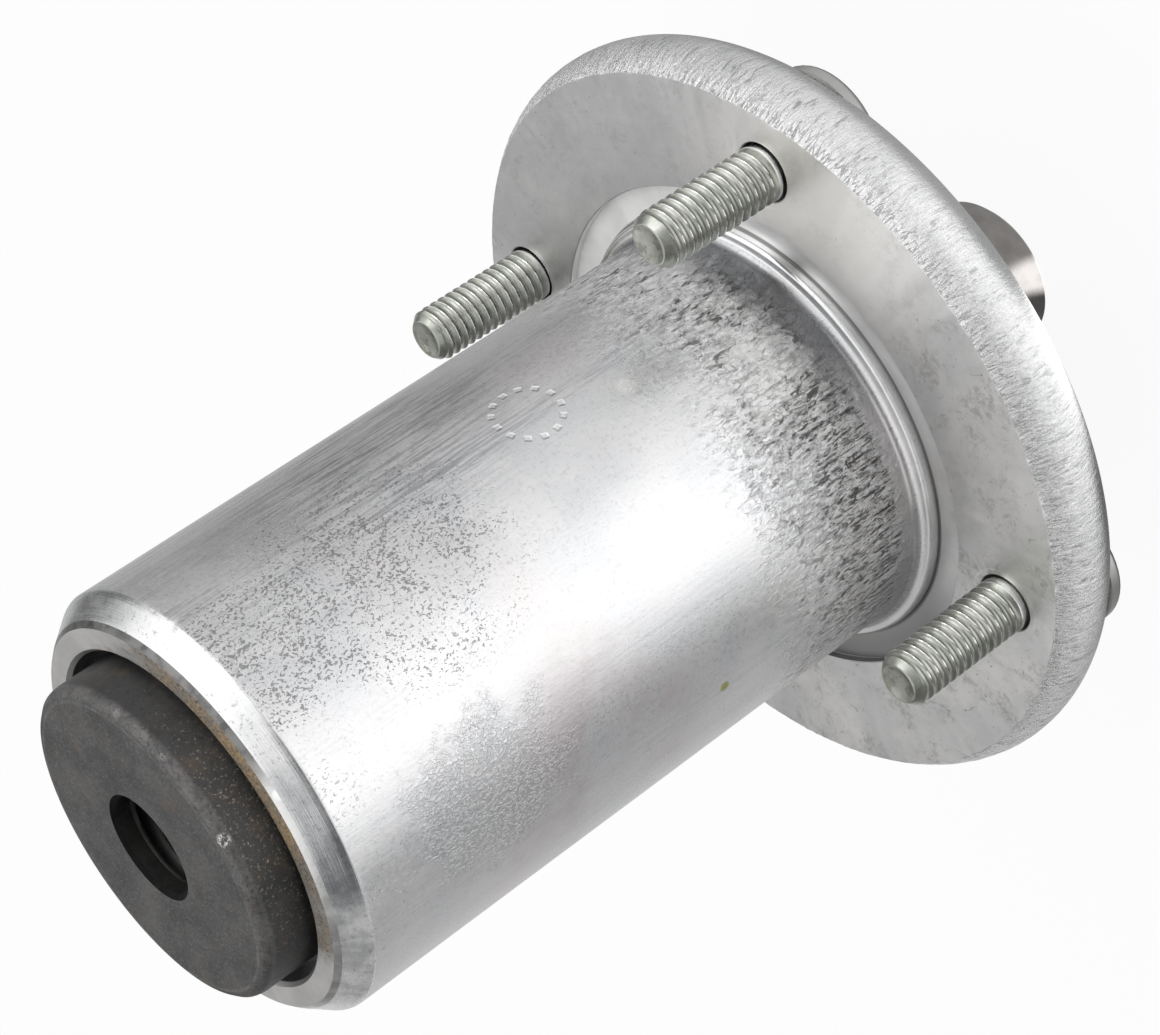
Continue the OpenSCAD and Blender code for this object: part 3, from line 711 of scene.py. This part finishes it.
def phosphated():
    """Dull black grey steel of the disc, with specks of dust, painted shade on its side and painted highlights along
    the edges of its chamfer.
    """
    material, tree, shader = new_material("phosphated_steel")
    shader.inputs["Metallic"].default_value = 0.55
    radius, height, _, _ = polar(tree)
    mm = place(tree)
    cloud = grain(tree, mm, 0.16, 6, 0.68)
    fine = grain(tree, mm, 1.8, 5, 0.75)
    rings = ringed(tree, sums(tree, "SUBTRACT", radius, height), 1.5, 3)
    speck = span(tree, grain(tree, mm, 2.2, 4, 0.75), 0.62, 0.72)
    brown = span(tree, grain(tree, mm, 0.3, 5, 0.7), 0.5, 0.72)
    colour = tint(tree, span(tree, cloud, 0.3, 0.7), (0.066, 0.066, 0.068), (0.138, 0.136, 0.134))
    colour = tint(tree, span(tree, fine, 0.5, 0.36, 0, 0.6), colour, (0.035, 0.035, 0.036))
    pale_grain = span(tree, grain(tree, mm, 2.3, 4, 0.85), 0.53, 0.60)
    on_front = span(tree, height, DISC_Z - 0.9, DISC_Z - 0.4)
    colour = tint(tree, product(tree, pale_grain, on_front, 0.5), colour, (0.25, 0.24, 0.23))
    # Painted shade on the disc's side below its chamfer.
    side = product(tree, span(tree, radius, DISC_R - 0.7, DISC_R - 0.2), span(tree, height, DISC_Z - 1.2, DISC_Z - 1.8))
    colour = tint(tree, product(tree, side, 0.55), colour, (0.035, 0.034, 0.034))
    colour = tint(tree, sums(tree, "MULTIPLY", brown, 0.35), colour, (0.16, 0.115, 0.08))
    colour = tint(tree, sums(tree, "MULTIPLY", speck, 0.5), colour, (0.30, 0.27, 0.24))
    past_side = span(tree, radius, DISC_R - DISC_BEVEL - 0.5, DISC_R - DISC_BEVEL + 0.3)
    edge = product(tree, past_side, span(tree, height, DISC_Z - DISC_BEVEL - 0.6, DISC_Z - DISC_BEVEL + 0.2))
    patches = span(tree, grain(tree, mm, 0.35, 4, 0.7), 0.4, 0.6, 0.15, 0.8)
    # Painted highlight along the outer edge of the chamfer, stronger on one side and broken into patches like wear.
    wear_and_highlight = product(tree, edge, patches, span(tree, fine, 0.35, 0.6, 0.2, 1), span(tree, toward(tree, 20), -0.2, 0.7))
    colour = tint(tree, wear_and_highlight, colour, (0.19, 0.18, 0.175))
    # Painted highlight: a thin pale line along the inner edge of the chamfer, broken into patches.
    inner_edge = sums(tree, "ABSOLUTE", sums(tree, "SUBTRACT", radius, DISC_R - DISC_BEVEL - 0.45))
    inner_edge_highlight = product(tree, span(tree, inner_edge, 0.35, 0.05), span(tree, height, DISC_Z - 0.5, DISC_Z - 0.3), patches)
    colour = tint(tree, product(tree, inner_edge_highlight, 0.6), colour, (0.26, 0.255, 0.25))
    for degrees, size, paleness in DISC_CHIPS:
        a = math.radians(degrees)
        spot = ((DISC_R - 0.4) * math.cos(a), (DISC_R - 0.4) * math.sin(a), DISC_Z - 0.6)
        chip = product(tree, near(tree, spot, size / 3, size), span(tree, fine, 0.47, 0.52), paleness)
        colour = tint(tree, chip, colour, (0.8, 0.79, 0.78))
    dusty = span(tree, grain(tree, mm, 2.2, 5, 0.8), 0.56, 0.64)
    near_nose = product(tree, span(tree, toward(tree, -8), 0.5, 1), span(tree, height, DISC_Z - 1, DISC_Z - 2))
    colour = tint(tree, product(tree, dusty, near_nose, 0.7), colour, (0.42, 0.37, 0.30))
    rough = sums(tree, "ADD", span(tree, cloud, 0.3, 0.7, 0.46, 0.58), span(tree, fine, 0.3, 0.7, -0.05, 0.05))
    high = raised(tree, fine, 0.035)
    high = raised(tree, rings, 0.015, high)
    finish_with(tree, shader, colour, rough, high)
    return material


def turned_steel(name, dark, light, rough):
    """Turned grey steel with fine rings."""
    material, tree, shader = new_material(name)
    shader.inputs["Metallic"].default_value = 1
    radius, height, _, _ = polar(tree)
    rings = ringed(tree, sums(tree, "SUBTRACT", radius, height), 0.6, 6)
    cloud = grain(tree, place(tree), 0.3, 5, 0.6)
    colour = tint(tree, span(tree, cloud, 0.3, 0.7), dark, light)
    level = sums(tree, "ADD", span(tree, rings, 0.3, 0.7, rough - 0.05, rough + 0.07), span(tree, cloud, 0.3, 0.7, 0, 0.06))
    finish_with(tree, shader, colour, level, raised(tree, rings, 0.012))
    return material


def polished_steel(name, dark, light, rough):
    """Ground or pressed bright steel with a faint cloud."""
    material, tree, shader = new_material(name)
    shader.inputs["Metallic"].default_value = 1
    cloud = grain(tree, place(tree), 0.5, 4, 0.6)
    fine = grain(tree, place(tree), 5, 3, 0.6)
    colour = tint(tree, span(tree, cloud, 0.3, 0.7), dark, light)
    finish_with(tree, shader, colour, span(tree, fine, 0.3, 0.7, rough - 0.04, rough + 0.06), raised(tree, fine, 0.004))
    return material


def rubber():
    """Black seal rubber with a little dust."""
    material, tree, shader = new_material("seal_rubber_black")
    cloud = grain(tree, place(tree), 0.4, 5, 0.6)
    fine = grain(tree, place(tree), 3, 4, 0.6)
    colour = tint(tree, span(tree, cloud, 0.4, 0.75), (0.018, 0.018, 0.018), (0.06, 0.052, 0.045))
    finish_with(tree, shader, colour, span(tree, cloud, 0.3, 0.7, 0.5, 0.68), raised(tree, fine, 0.015))
    return material


# Housing


def relief_of_housing(r, z, a, kind):
    """Moves a point of the housing's skin by its cast relief."""
    x, y = r * math.cos(a), r * math.sin(a)
    if kind == "barrel":
        edge = max(2.0, 2.6 + 1.4 * noise.noise((x * 0.3, y * 0.3, 7)))
        top = 20 + 8 * noise.noise((x * 0.06, y * 0.06, 3))
        share = min(1, max(0, (z - edge) / 1.5)) * min(1, max(0, (top - z) / 9))
        wave = noise.noise((x * 0.05, y * 0.05, z * 0.03)) * 0.02
        if share > 0:
            lump = noise.turbulence((x * 0.62, y * 0.62, z * 0.28), 3, True)
            wave += share * 0.13 * (lump - 0.75)
        return r + wave, z
    if kind == "edge":
        for notch in NOTCH_ANGLES:
            off = abs(math.degrees(a) - notch)
            r -= 0.3 * max(0, 1 - off / 1.1)
        return r, z
    lean = math.atan2(z - RIM_Z, r - RIM_R)
    path = RIM_ROUND * lean
    lump = noise.turbulence((x * 0.9, y * 0.9, path * 0.2 + 40), 2, True)
    fade = min(1, max(0.1, (lean + 0.5) / 0.9))
    move = 0.13 * fade * (lump - 0.75)
    return r + move * math.cos(lean), z + move * math.sin(lean)


def housing_rows():
    """The section of the housing as rows: radius, height, points, material, relief."""
    rows = []

    def put(points, count, index, kind=None):
        rows.extend((r, z, count, index, kind) for r, z in points)

    bevel_z = NOSE_Z - LIP - BEVEL_H
    lip_r = BARREL_R - BEVEL_W
    fillet_z = FOOT_Z + FOOT_FILLET
    edge_r = RIM_R + math.sqrt(RIM_ROUND ** 2 - RIM_Z ** 2)
    top_angle = math.degrees(math.asin(-RIM_Z / RIM_ROUND))
    low_angle = math.degrees(math.asin((BACK_Z - RIM_Z) / RIM_ROUND))
    put(line((BORE_R + MOUTH_BEVEL, NOSE_Z), (lip_r - LIP, NOSE_Z), 1.5), 192, 2)
    put([(lip_r - LIP, NOSE_Z)], 384, 7)
    put(line((lip_r, NOSE_Z - LIP), (BARREL_R - 0.12, bevel_z + 0.15), 0.8), 384, 1)
    put([(BARREL_R - 0.12, bevel_z + 0.15)], 384, 1, "edge")
    put([(BARREL_R, bevel_z - 0.15)], 384, 0, "edge")
    put(line((BARREL_R, bevel_z - 0.7), (BARREL_R, 66), 0.8), 384, 0, "barrel")
    put(line((BARREL_R, 66), (BARREL_R, 28), 1.2), 384, 0, "barrel")
    put(line((BARREL_R, 28), (BARREL_R, fillet_z + 0.4), 0.4), 512, 0, "barrel")
    fillet = arc((BARREL_R + FOOT_FILLET, fillet_z), FOOT_FILLET, 180, 270, 9)
    put(fillet[:6], 384, 0)
    put(fillet[6:], 384, 8)
    put(arc((FOOT_R - FOOT_ROUND, FOOT_Z - FOOT_ROUND), FOOT_ROUND, 75, 0, 5), 384, 8)
    put([(FOOT_R, RECESS_Z + 0.1)], 384, 9)
    put(line((FOOT_R + 0.1, RECESS_Z), (RECESS_R - 0.1, RECESS_Z), 1.1), 288, 9)
    put([(RECESS_R - 0.1, RECESS_Z), (RECESS_R, RECESS_Z + 0.1)], 288, 9)
    put([(RECESS_R, -0.12)], 288, 3)
    put([(RECESS_R + 0.12, 0)], 288, 3)
    put([(edge_r - 0.25, 0)], 560, 3)
    put(arc((RIM_R, RIM_Z), RIM_ROUND, top_angle, low_angle, 30), 560, 4, "rim")
    put([(HUB_R + HUB_FILLET + 6, BACK_Z)], 192, 5)
    put(arc((HUB_R + HUB_FILLET, BACK_Z - HUB_FILLET), HUB_FILLET, 90, 180, 6), 160, 5)
    put([(HUB_R, HUB_Z + HUB_BEVEL), (HUB_R - HUB_BEVEL, HUB_Z)], 160, 6)
    put([(BORE_R + 0.3, HUB_Z), (BORE_R, HUB_Z + 0.3)], 160, 6)
    put([(BORE_R, CLIP_Z - CLIP_T), (CLIP_R, CLIP_Z - CLIP_T), (CLIP_R, CLIP_Z)], 160, 6)
    put([(BORE_R, CLIP_Z), (BORE_R, PULLEY_BEARING_Z), (SHOULDER_R, PULLEY_BEARING_Z)], 160, 6)
    put([(SHOULDER_R, NOSE_BEARING_Z), (BORE_R, NOSE_BEARING_Z)], 160, 6)
    put([(BORE_R, NOSE_Z - MOUTH_BEVEL)], 192, 2)
    return rows


def stud_tool(angle):
    """The hole and the spot-faced seat of one stud, to cut with."""
    past = 1.0
    gap_r = STUD_R + STUD_GAP
    points = [
        (0, past), (gap_r + 0.5, past), (gap_r + 0.5, 0.3), (gap_r, -0.12), (gap_r, -STUD_GAP_DEPTH),
        (GRIP_R, -STUD_GAP_DEPTH), (GRIP_R, SEAT_Z), (SEAT_R, SEAT_Z), (SEAT_R, BACK_Z - past), (0, BACK_Z - past),
    ]
    tool = turned("stud_tool", [(r, z, 64, 0, None) for r, z in points], [], closed=False)
    facing_out(tool)
    a = math.radians(angle)
    tool.data.transform(Matrix.Translation((STUD_CIRCLE_R * MM * math.cos(a), STUD_CIRCLE_R * MM * math.sin(a), 0)))
    return tool


def make_housing():
    """The whole casting, with cast relief on the barrel and the rim."""
    bead = turned_metal("foot_bead_aluminium", (0.82, 0.825, 0.83), (0.9, 0.9, 0.905), 0.12, 5, 0.003, 0.3)
    back = turned_metal("back_aluminium", (0.5, 0.5, 0.505), (0.64, 0.64, 0.64), 0.42, 3)
    bore = turned_metal("bore_aluminium", (0.66, 0.66, 0.665), (0.76, 0.76, 0.765), 0.28)
    materials = [barrel_metal(), bevel_metal(), nose_metal(), deck_metal(), rim_metal(), back, bore, lip_metal(), bead, recess_metal()]
    piece = turned("housing_casting", housing_rows(), materials, relief=relief_of_housing)
    facing_out(piece)
    cut(piece, [stud_tool(a) for a in STUD_ANGLES])
    smooth(piece, 32)
    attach(piece, "housing")
    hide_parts("housing")


# Studs


def thread_depth(turns):
    """Depth of a rolled thread below its narrow crest, from 0 to 1, at a place in its pitch."""
    t = abs((turns % 1) - 0.5) * 2
    s = min(1, max(0, (t - 0.08) / 0.86))
    return 1 - (1 - s) ** 2


def stud_mesh(angle, vertices, faces):
    """Adds one stud: dished tip, rolled thread, splined grip and round-edged head."""
    count = 48
    depth = 0.36 * STUD_PITCH
    rows = [(r, STUD_TOP - 0.42 * (1 - (r / 2.6) ** 2), None) for r in (0.0, 0.8, 1.5, 2.1, 2.6)]
    rows += [(2.78, STUD_TOP + 0.02, None), (2.9, STUD_TOP - 0.03, None)]
    z = STUD_TOP - 0.05
    while z > -STUD_GAP_DEPTH + 0.2:
        rows.append((STUD_R, z, "thread"))
        z -= STUD_PITCH / 14
    rows += [(STUD_R - 0.1, -STUD_GAP_DEPTH, None)]
    rows += [(GRIP_R, -STUD_GAP_DEPTH - 0.1, None), (GRIP_R, SEAT_Z, None), (HEAD_R, SEAT_Z - 0.02, None)]
    low = SEAT_Z - HEAD_T
    rows += [(r, z, None) for r, z in arc((HEAD_R - HEAD_ROUND, low + HEAD_ROUND), HEAD_ROUND, 0, -90, 8)]
    rows += [(3, low, None), (0, low + 0.05, None)]
    a0 = math.radians(angle)
    cx, cy = STUD_CIRCLE_R * math.cos(a0), STUD_CIRCLE_R * math.sin(a0)
    rings = []
    for r, z, kind in rows:
        if r < 1e-6:
            rings.append([len(vertices)])
            vertices.append((cx, cy, z))
            continue
        rings.append(list(range(len(vertices), len(vertices) + count)))
        for i in range(count):
            a = TURN * i / count
            rr = r
            if kind == "thread":
                run_out = min(1, max(0.12, (z - 0.5) / 1.4))
                rr = r - depth * run_out * thread_depth(z / STUD_PITCH - i / count + angle / 360)
                rr = min(rr, 2.88 + (STUD_TOP - z) * 0.85)
            vertices.append((cx + rr * math.cos(a), cy + rr * math.sin(a), z))
    for low_ring, high_ring in zip(rings, rings[1:]):
        if len(low_ring) == 1:
            faces += [(low_ring[0], high_ring[i], high_ring[(i + 1) % count]) for i in range(count)]
        elif len(high_ring) == 1:
            faces += [(low_ring[i], high_ring[0], low_ring[(i + 1) % count]) for i in range(count)]
        else:
            faces += zip_rows(low_ring, high_ring)


def make_studs():
    """The four press-in studs with their real threads."""
    vertices, faces = [], []
    for angle in STUD_ANGLES:
        stud_mesh(angle, vertices, faces)
    piece = mesh_object("threaded_studs", vertices, faces, [zinc()])
    facing_out(piece)
    smooth(piece, 40)
    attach(piece, "housing")
    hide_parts("deck_studs")


# Shaft


def key_tool():
    """The milled keyway with round ends, to cut with."""
    half = KEY_W / 2
    outline = []
    for i in range(17):
        a = math.pi * i / 16
        outline.append((half * math.cos(a), KEY_HIGH - half + half * math.sin(a)))
    for i in range(17):
        a = math.pi + math.pi * i / 16
        outline.append((half * math.cos(a), KEY_LOW + half + half * math.sin(a)))
    n = len(outline)
    near, far = SHAFT_R - KEY_DEPTH, SHAFT_R + 2
    a = math.radians(KEY_ANGLE)
    out, side = (math.cos(a), math.sin(a)), (-math.sin(a), math.cos(a))
    vertices = [(out[0] * d + side[0] * u, out[1] * d + side[1] * u, z) for d in (near, far) for u, z in outline]
    faces = [tuple(range(n)), tuple(range(n, 2 * n))]
    faces += [(i, (i + 1) % n, n + (i + 1) % n, n + i) for i in range(n)]
    return facing_out(mesh_object("key_tool", vertices, faces))


def shaft_rows():
    """The section of the shaft, from the bottom of the blade bolt hole out and round to the other hole."""
    wall = BOLT_R + 0.55
    low_wall = PULLEY_BOLT_R + 0.3
    floor_z = DISC_Z - BOLT_DEPTH
    roof_z = TAIL_Z + PULLEY_DEPTH
    points = [(0, floor_z - 3.9, 2), (wall, floor_z, 2), (wall, DISC_Z - BOLT_MOUTH_R + wall, 2)]
    points[-1] = (wall, DISC_Z - BOLT_MOUTH_R + wall, 3)
    points += [(BOLT_MOUTH_R, DISC_Z - 0.02, 0)]
    top_of_bevel = DISC_R - DISC_BEVEL
    points += [(r, z, 0) for r, z in line((BOLT_MOUTH_R + 0.15, DISC_Z), (top_of_bevel - 0.8, DISC_Z), 3)]
    for share in (-0.8, -0.4, -0.15, 0.1, 0.35):
        points.append((top_of_bevel + share, DISC_Z - 0.16 * (share + 0.8) ** 2, 0))
    for share in (0.35, 0.1, -0.15, -0.4, -0.8):
        points.append((DISC_R - 0.16 * (share + 0.8) ** 2, DISC_Z - DISC_BEVEL + share, 0))
    points += [(DISC_R, DISC_LOW + 0.5, 0), (DISC_R - 0.5, DISC_LOW, 0)]
    points += [(COLLAR_R, DISC_LOW, 0), (COLLAR_R, COLLAR_LOW, 1), (SHAFT_R, COLLAR_LOW, 1)]
    points += [(SHAFT_R, GROOVE_Z, 1), (GROOVE_R, GROOVE_Z, 1), (GROOVE_R, GROOVE_Z - GROOVE_T, 1)]
    points += [(SHAFT_R, GROOVE_Z - GROOVE_T, 1), (SHAFT_R, TAIL_Z + TAIL_BEVEL + 0.1, 1)]
    points += [(SHAFT_R - 0.08, TAIL_Z + TAIL_BEVEL - 0.08, 1), (SHAFT_R - TAIL_BEVEL, TAIL_Z, 1)]
    points += [(PULLEY_MOUTH_R, TAIL_Z, 1), (low_wall, TAIL_Z + 1, 1), (low_wall, roof_z, 1), (0, roof_z + 2.4, 1)]
    return [(r, z, 160, index, None) for r, z, index in points]


def inner_thread(name, wall, crest, low, high, pitch, material):
    """A threaded sleeve on the wall of a bolt hole."""
    count = 48
    steps = round((high - low) / pitch * 9)
    vertices, faces = [], []
    for j in range(steps + 1):
        z = low + (high - low) * j / steps
        run_out = min(1, (high - z) / 0.6)
        for i in range(count):
            a = TURN * i / count
            r = wall - (wall - crest) * run_out * (1 - thread_depth(z / pitch - i / count))
            vertices.append((r * math.cos(a), r * math.sin(a), z))
    for z in (high, low):
        for i in range(count):
            a = TURN * i / count
            vertices.append(((wall + 0.25) * math.cos(a), (wall + 0.25) * math.sin(a), z))
    rings = [list(range(k * count, (k + 1) * count)) for k in range(steps + 3)]
    for k in range(steps + 3):
        faces += zip_rows(rings[k], rings[(k + 1) % (steps + 3)])
    piece = facing_out(mesh_object(name, vertices, faces, [material]))
    smooth(piece, 45)
    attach(piece, "spindle")


def make_shaft():
    """The shaft with its dark disc, its keyway and the threads of its two bolt holes."""
    black = phosphated()
    grey = turned_steel("turned_shaft_steel", (0.44, 0.415, 0.40), (0.56, 0.535, 0.52), 0.22)
    # Painted shade: the wall and thread of the blade bolt hole are nearly black, and its mouth blacker still, for the
    # shade inside the hole.
    hole_shade_steel = turned_steel("bolt_hole_steel", (0.05, 0.049, 0.048), (0.08, 0.078, 0.076), 0.55)
    mouth = turned_steel("bolt_mouth_steel", (0.010, 0.0098, 0.0095), (0.02, 0.0195, 0.019), 0.6)
    piece = turned("shaft_forging", shaft_rows(), [black, grey, hole_shade_steel, mouth], closed=False)
    facing_out(piece)
    cut(piece, [key_tool()])
    smooth(piece, 32)
    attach(piece, "spindle")
    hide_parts("spindle_shaft")
    inner_thread("blade_bolt_thread", BOLT_R + 0.55, BOLT_R + 0.2, 74, DISC_Z - 2.6, BOLT_PITCH, hole_shade_steel)
    inner_thread("pulley_bolt_thread", PULLEY_BOLT_R + 0.3, PULLEY_BOLT_R - 0.15, TAIL_Z + 1.2, TAIL_Z + 20, PULLEY_PITCH, grey)


def dress_cad_nodes():
    """Gives every carried-over CAD node its procedural material."""
    bearing = polished_steel("ground_bearing_steel", (0.52, 0.52, 0.53), (0.62, 0.62, 0.63), 0.2)
    ball = polished_steel("polished_ball_steel", (0.66, 0.66, 0.67), (0.72, 0.72, 0.73), 0.1)
    cage = polished_steel("pressed_cage_steel", (0.4, 0.37, 0.32), (0.5, 0.47, 0.42), 0.32)
    spring = polished_steel("blued_spring_steel", (0.06, 0.06, 0.065), (0.11, 0.108, 0.105), 0.36)
    tube = turned_steel("drawn_tube_steel", (0.3, 0.29, 0.28), (0.4, 0.39, 0.38), 0.32)
    seal = rubber()
    kinds = (
        ("ball_", ball), ("cage", cage), ("circlip", spring), ("spacer", tube), ("seal", seal), ("ring", bearing),
        ("housing", tube), ("shaft", tube), ("studs", tube),
    )
    for name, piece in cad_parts.items():
        material = next(m for key, m in kinds if key in name)
        piece.data.materials.clear()
        piece.data.materials.append(material)


# Camera, floor and light

CAMERA_DISTANCE = 453.5
CAMERA_AZIMUTH = 9.32
CAMERA_TILT = 58.508
CAMERA_ROLL = -124.603
CAMERA_ASIDE = 3.013
CAMERA_DOWN = -1.505


def make_camera():
    """The camera at the photograph's angle."""
    tilt, azimuth = math.radians(CAMERA_TILT), math.radians(CAMERA_AZIMUTH)
    back = Vector((math.sin(tilt) * math.cos(azimuth), math.sin(tilt) * math.sin(azimuth), math.cos(tilt)))
    forward = -back
    right = Vector((-math.sin(azimuth), math.cos(azimuth), 0))
    up = right.cross(forward)
    roll = math.radians(CAMERA_ROLL)
    right, up = (
        math.cos(roll) * right + math.sin(roll) * up,
        -math.sin(roll) * right + math.cos(roll) * up,
    )
    aside = Quaternion(up, math.radians(CAMERA_ASIDE))
    forward, right = aside @ forward, aside @ right
    down = Quaternion(right, math.radians(CAMERA_DOWN))
    forward, up = down @ forward, down @ up
    data = bpy.data.cameras.new("camera")
    data.sensor_width = 36
    data.sensor_fit = "HORIZONTAL"
    data.lens = 103.47
    data.clip_start, data.clip_end = 0.01, 20
    camera = bpy.data.objects.new("camera", data)
    bpy.context.scene.collection.objects.link(camera)
    axes = Matrix((right, up, -forward)).transposed().to_4x4()
    camera.matrix_world = Matrix.Translation(back * CAMERA_DISTANCE * MM) @ axes
    bpy.context.scene.camera = camera


# What metal sees of the studio floor: angle from the camera's side in degrees, and level
FLOOR_LEVELS = (
    (-180, 0.85), (-150, 0.7), (-122, 0.52), (-103, 0.5), (-84, 0.4), (-70, 0.34), (-52, 0.9), (-40, 1.45), (0, 1.45),
    (14, 1.02), (30, 0.9), (50, 0.82), (70, 0.7), (92, 0.4), (128, 0.38), (155, 0.66), (180, 0.85),
)


# The same on the floor under the flange, which the flange keeps dark but for one strip
UNDER_LEVELS = (
    (-180, 0.3), (-110, 0.3), (-60, 0.12), (-46, 0.12), (-37, 1.8), (-17, 1.8), (-8, 0.4), (30, 0.4), (90, 0.3), (180, 0.3),
)
BRIGHTEST = 1.8


def levels(tree, turn, stops_wanted):
    """A grey level by angle, as a share of the brightest."""
    ramp = add(tree, "ShaderNodeValToRGB", {0: turn})
    stops = ramp.color_ramp.elements
    while len(stops) < len(stops_wanted):
        stops.new(0.5)
    for stop, (degrees, level) in zip(stops, stops_wanted):
        stop.position = degrees / 360 + 0.5
        stop.color = (level / BRIGHTEST, level / BRIGHTEST, level / BRIGHTEST, 1)
    return ramp.outputs[0]


def make_floor():
    """A plain pale floor under the tail, white for the camera and shaded like a studio in reflections."""
    material = bpy.data.materials.new("studio_floor")
    material.use_nodes = True
    tree = material.node_tree
    tree.nodes.clear()
    path = add(tree, "ShaderNodeLightPath").outputs
    seen = sums(tree, "MAXIMUM", path["Is Camera Ray"], path["Is Transmission Ray"])
    lit = add(tree, "ShaderNodeBsdfDiffuse", {"Color": (0.9, 0.9, 0.9, 1)}).outputs[0]
    white = add(tree, "ShaderNodeEmission", {"Color": (1, 1, 1, 1), "Strength": 1}).outputs[0]
    x, y, _ = add(tree, "ShaderNodeSeparateXYZ", {0: place(tree)}).outputs
    angle = sums(tree, "SUBTRACT", sums(tree, "ARCTAN2", y, x), math.radians(CAMERA_AZIMUTH))
    turn = sums(tree, "ADD", sums(tree, "WRAP", sums(tree, "DIVIDE", angle, TURN), 0.5, -0.5), 0.5)
    open_floor = levels(tree, turn, FLOOR_LEVELS)
    under_flange = levels(tree, turn, UNDER_LEVELS)
    far = span(tree, polar(tree)[0], 62, 80)
    seen_level = tint(tree, far, under_flange, open_floor)
    mirrored = add(tree, "ShaderNodeEmission", {"Color": seen_level, "Strength": BRIGHTEST}).outputs[0]
    plain = add(tree, "ShaderNodeMixShader", {0: sums(tree, "MULTIPLY", seen, 0.93), 1: lit, 2: white}).outputs[0]
    mixed = add(tree, "ShaderNodeMixShader", {0: path["Is Glossy Ray"], 1: plain, 2: mirrored}).outputs[0]
    add(tree, "ShaderNodeOutputMaterial", {"Surface": mixed})
    size = 3000
    corners = [(-size, -size, TAIL_Z), (size, -size, TAIL_Z), (size, size, TAIL_Z), (-size, size, TAIL_Z)]
    floor = mesh_object("studio_floor", corners, [(0, 1, 2, 3)], [material])


def softbox(name, azimuth, distance, height, size, radiance, aim=(0, 0, 20)):
    """A soft area light at an azimuth from the camera's, aimed at a point in millimetres."""
    data = bpy.data.lights.new(name, "AREA")
    data.shape = "RECTANGLE"
    data.size, data.size_y = size[0] * MM, size[1] * MM
    data.energy = radiance * math.pi * data.size * data.size_y
    lamp = bpy.data.objects.new(name, data)
    bpy.context.scene.collection.objects.link(lamp)
    a = math.radians(azimuth + CAMERA_AZIMUTH)
    lamp.location = (distance * math.cos(a) * MM, distance * math.sin(a) * MM, height * MM)
    toward = Vector(aim) * MM - lamp.location
    lamp.rotation_mode = "QUATERNION"
    lamp.rotation_quaternion = toward.to_track_quat("-Z", "Y")
    lamp.visible_camera = False


def studio_level(tree):
    """Light from each direction: a wide soft source on one side, a pale horizon and a dim rest."""
    x, y, z = add(tree, "ShaderNodeSeparateXYZ", {0: add(tree, "ShaderNodeTexCoord").outputs["Generated"]}).outputs
    angle = sums(tree, "SUBTRACT", sums(tree, "ARCTAN2", y, x), math.radians(CAMERA_AZIMUTH))
    turn = product(tree, sums(tree, "WRAP", sums(tree, "DIVIDE", angle, TURN), 0.5, -0.5), 360)
    rise = product(tree, sums(tree, "ARCSINE", z), 180 / math.pi)
    wide_source = product(
        tree, span(tree, turn, 6, 26), span(tree, turn, 172, 140), span(tree, rise, 8, 26), span(tree, rise, 86, 66), 1.12
    )
    horizon = product(tree, span(tree, turn, -100, -70), span(tree, turn, 118, 92), span(tree, rise, 19, 10), 1.2)
    overhead = product(tree, span(tree, rise, 43, 55), 1.15)
    behind = product(tree, span(tree, sums(tree, "ABSOLUTE", turn), 130, 160), span(tree, rise, 8, 20), 0.5)
    level = 0.2
    for source in (wide_source, horizon, overhead, behind):
        level = sums(tree, "MAXIMUM", source, level)
    return level


def make_light():
    """Plain soft studio light."""
    softbox("side_key", 62, 620, 460, (520, 300), 1.35)
    world = bpy.data.worlds.new("studio")
    world.use_nodes = True
    bpy.context.scene.world = world
    tree = world.node_tree
    tree.nodes.clear()
    path = add(tree, "ShaderNodeLightPath").outputs
    seen = sums(tree, "MAXIMUM", path["Is Camera Ray"], path["Is Transmission Ray"])
    dim = add(tree, "ShaderNodeBackground", {"Color": (1, 1, 1, 1), "Strength": studio_level(tree)}).outputs[0]
    white = add(tree, "ShaderNodeBackground", {"Color": (1, 1, 1, 1), "Strength": 1}).outputs[0]
    mixed = add(tree, "ShaderNodeMixShader", {0: seen, 1: dim, 2: white}).outputs[0]
    add(tree, "ShaderNodeOutputWorld", {"Surface": mixed})


bpy.context.scene.view_settings.view_transform = "Standard"
make_camera()
make_floor()
make_light()
dress_cad_nodes()
make_housing()
make_studs()
make_shaft()
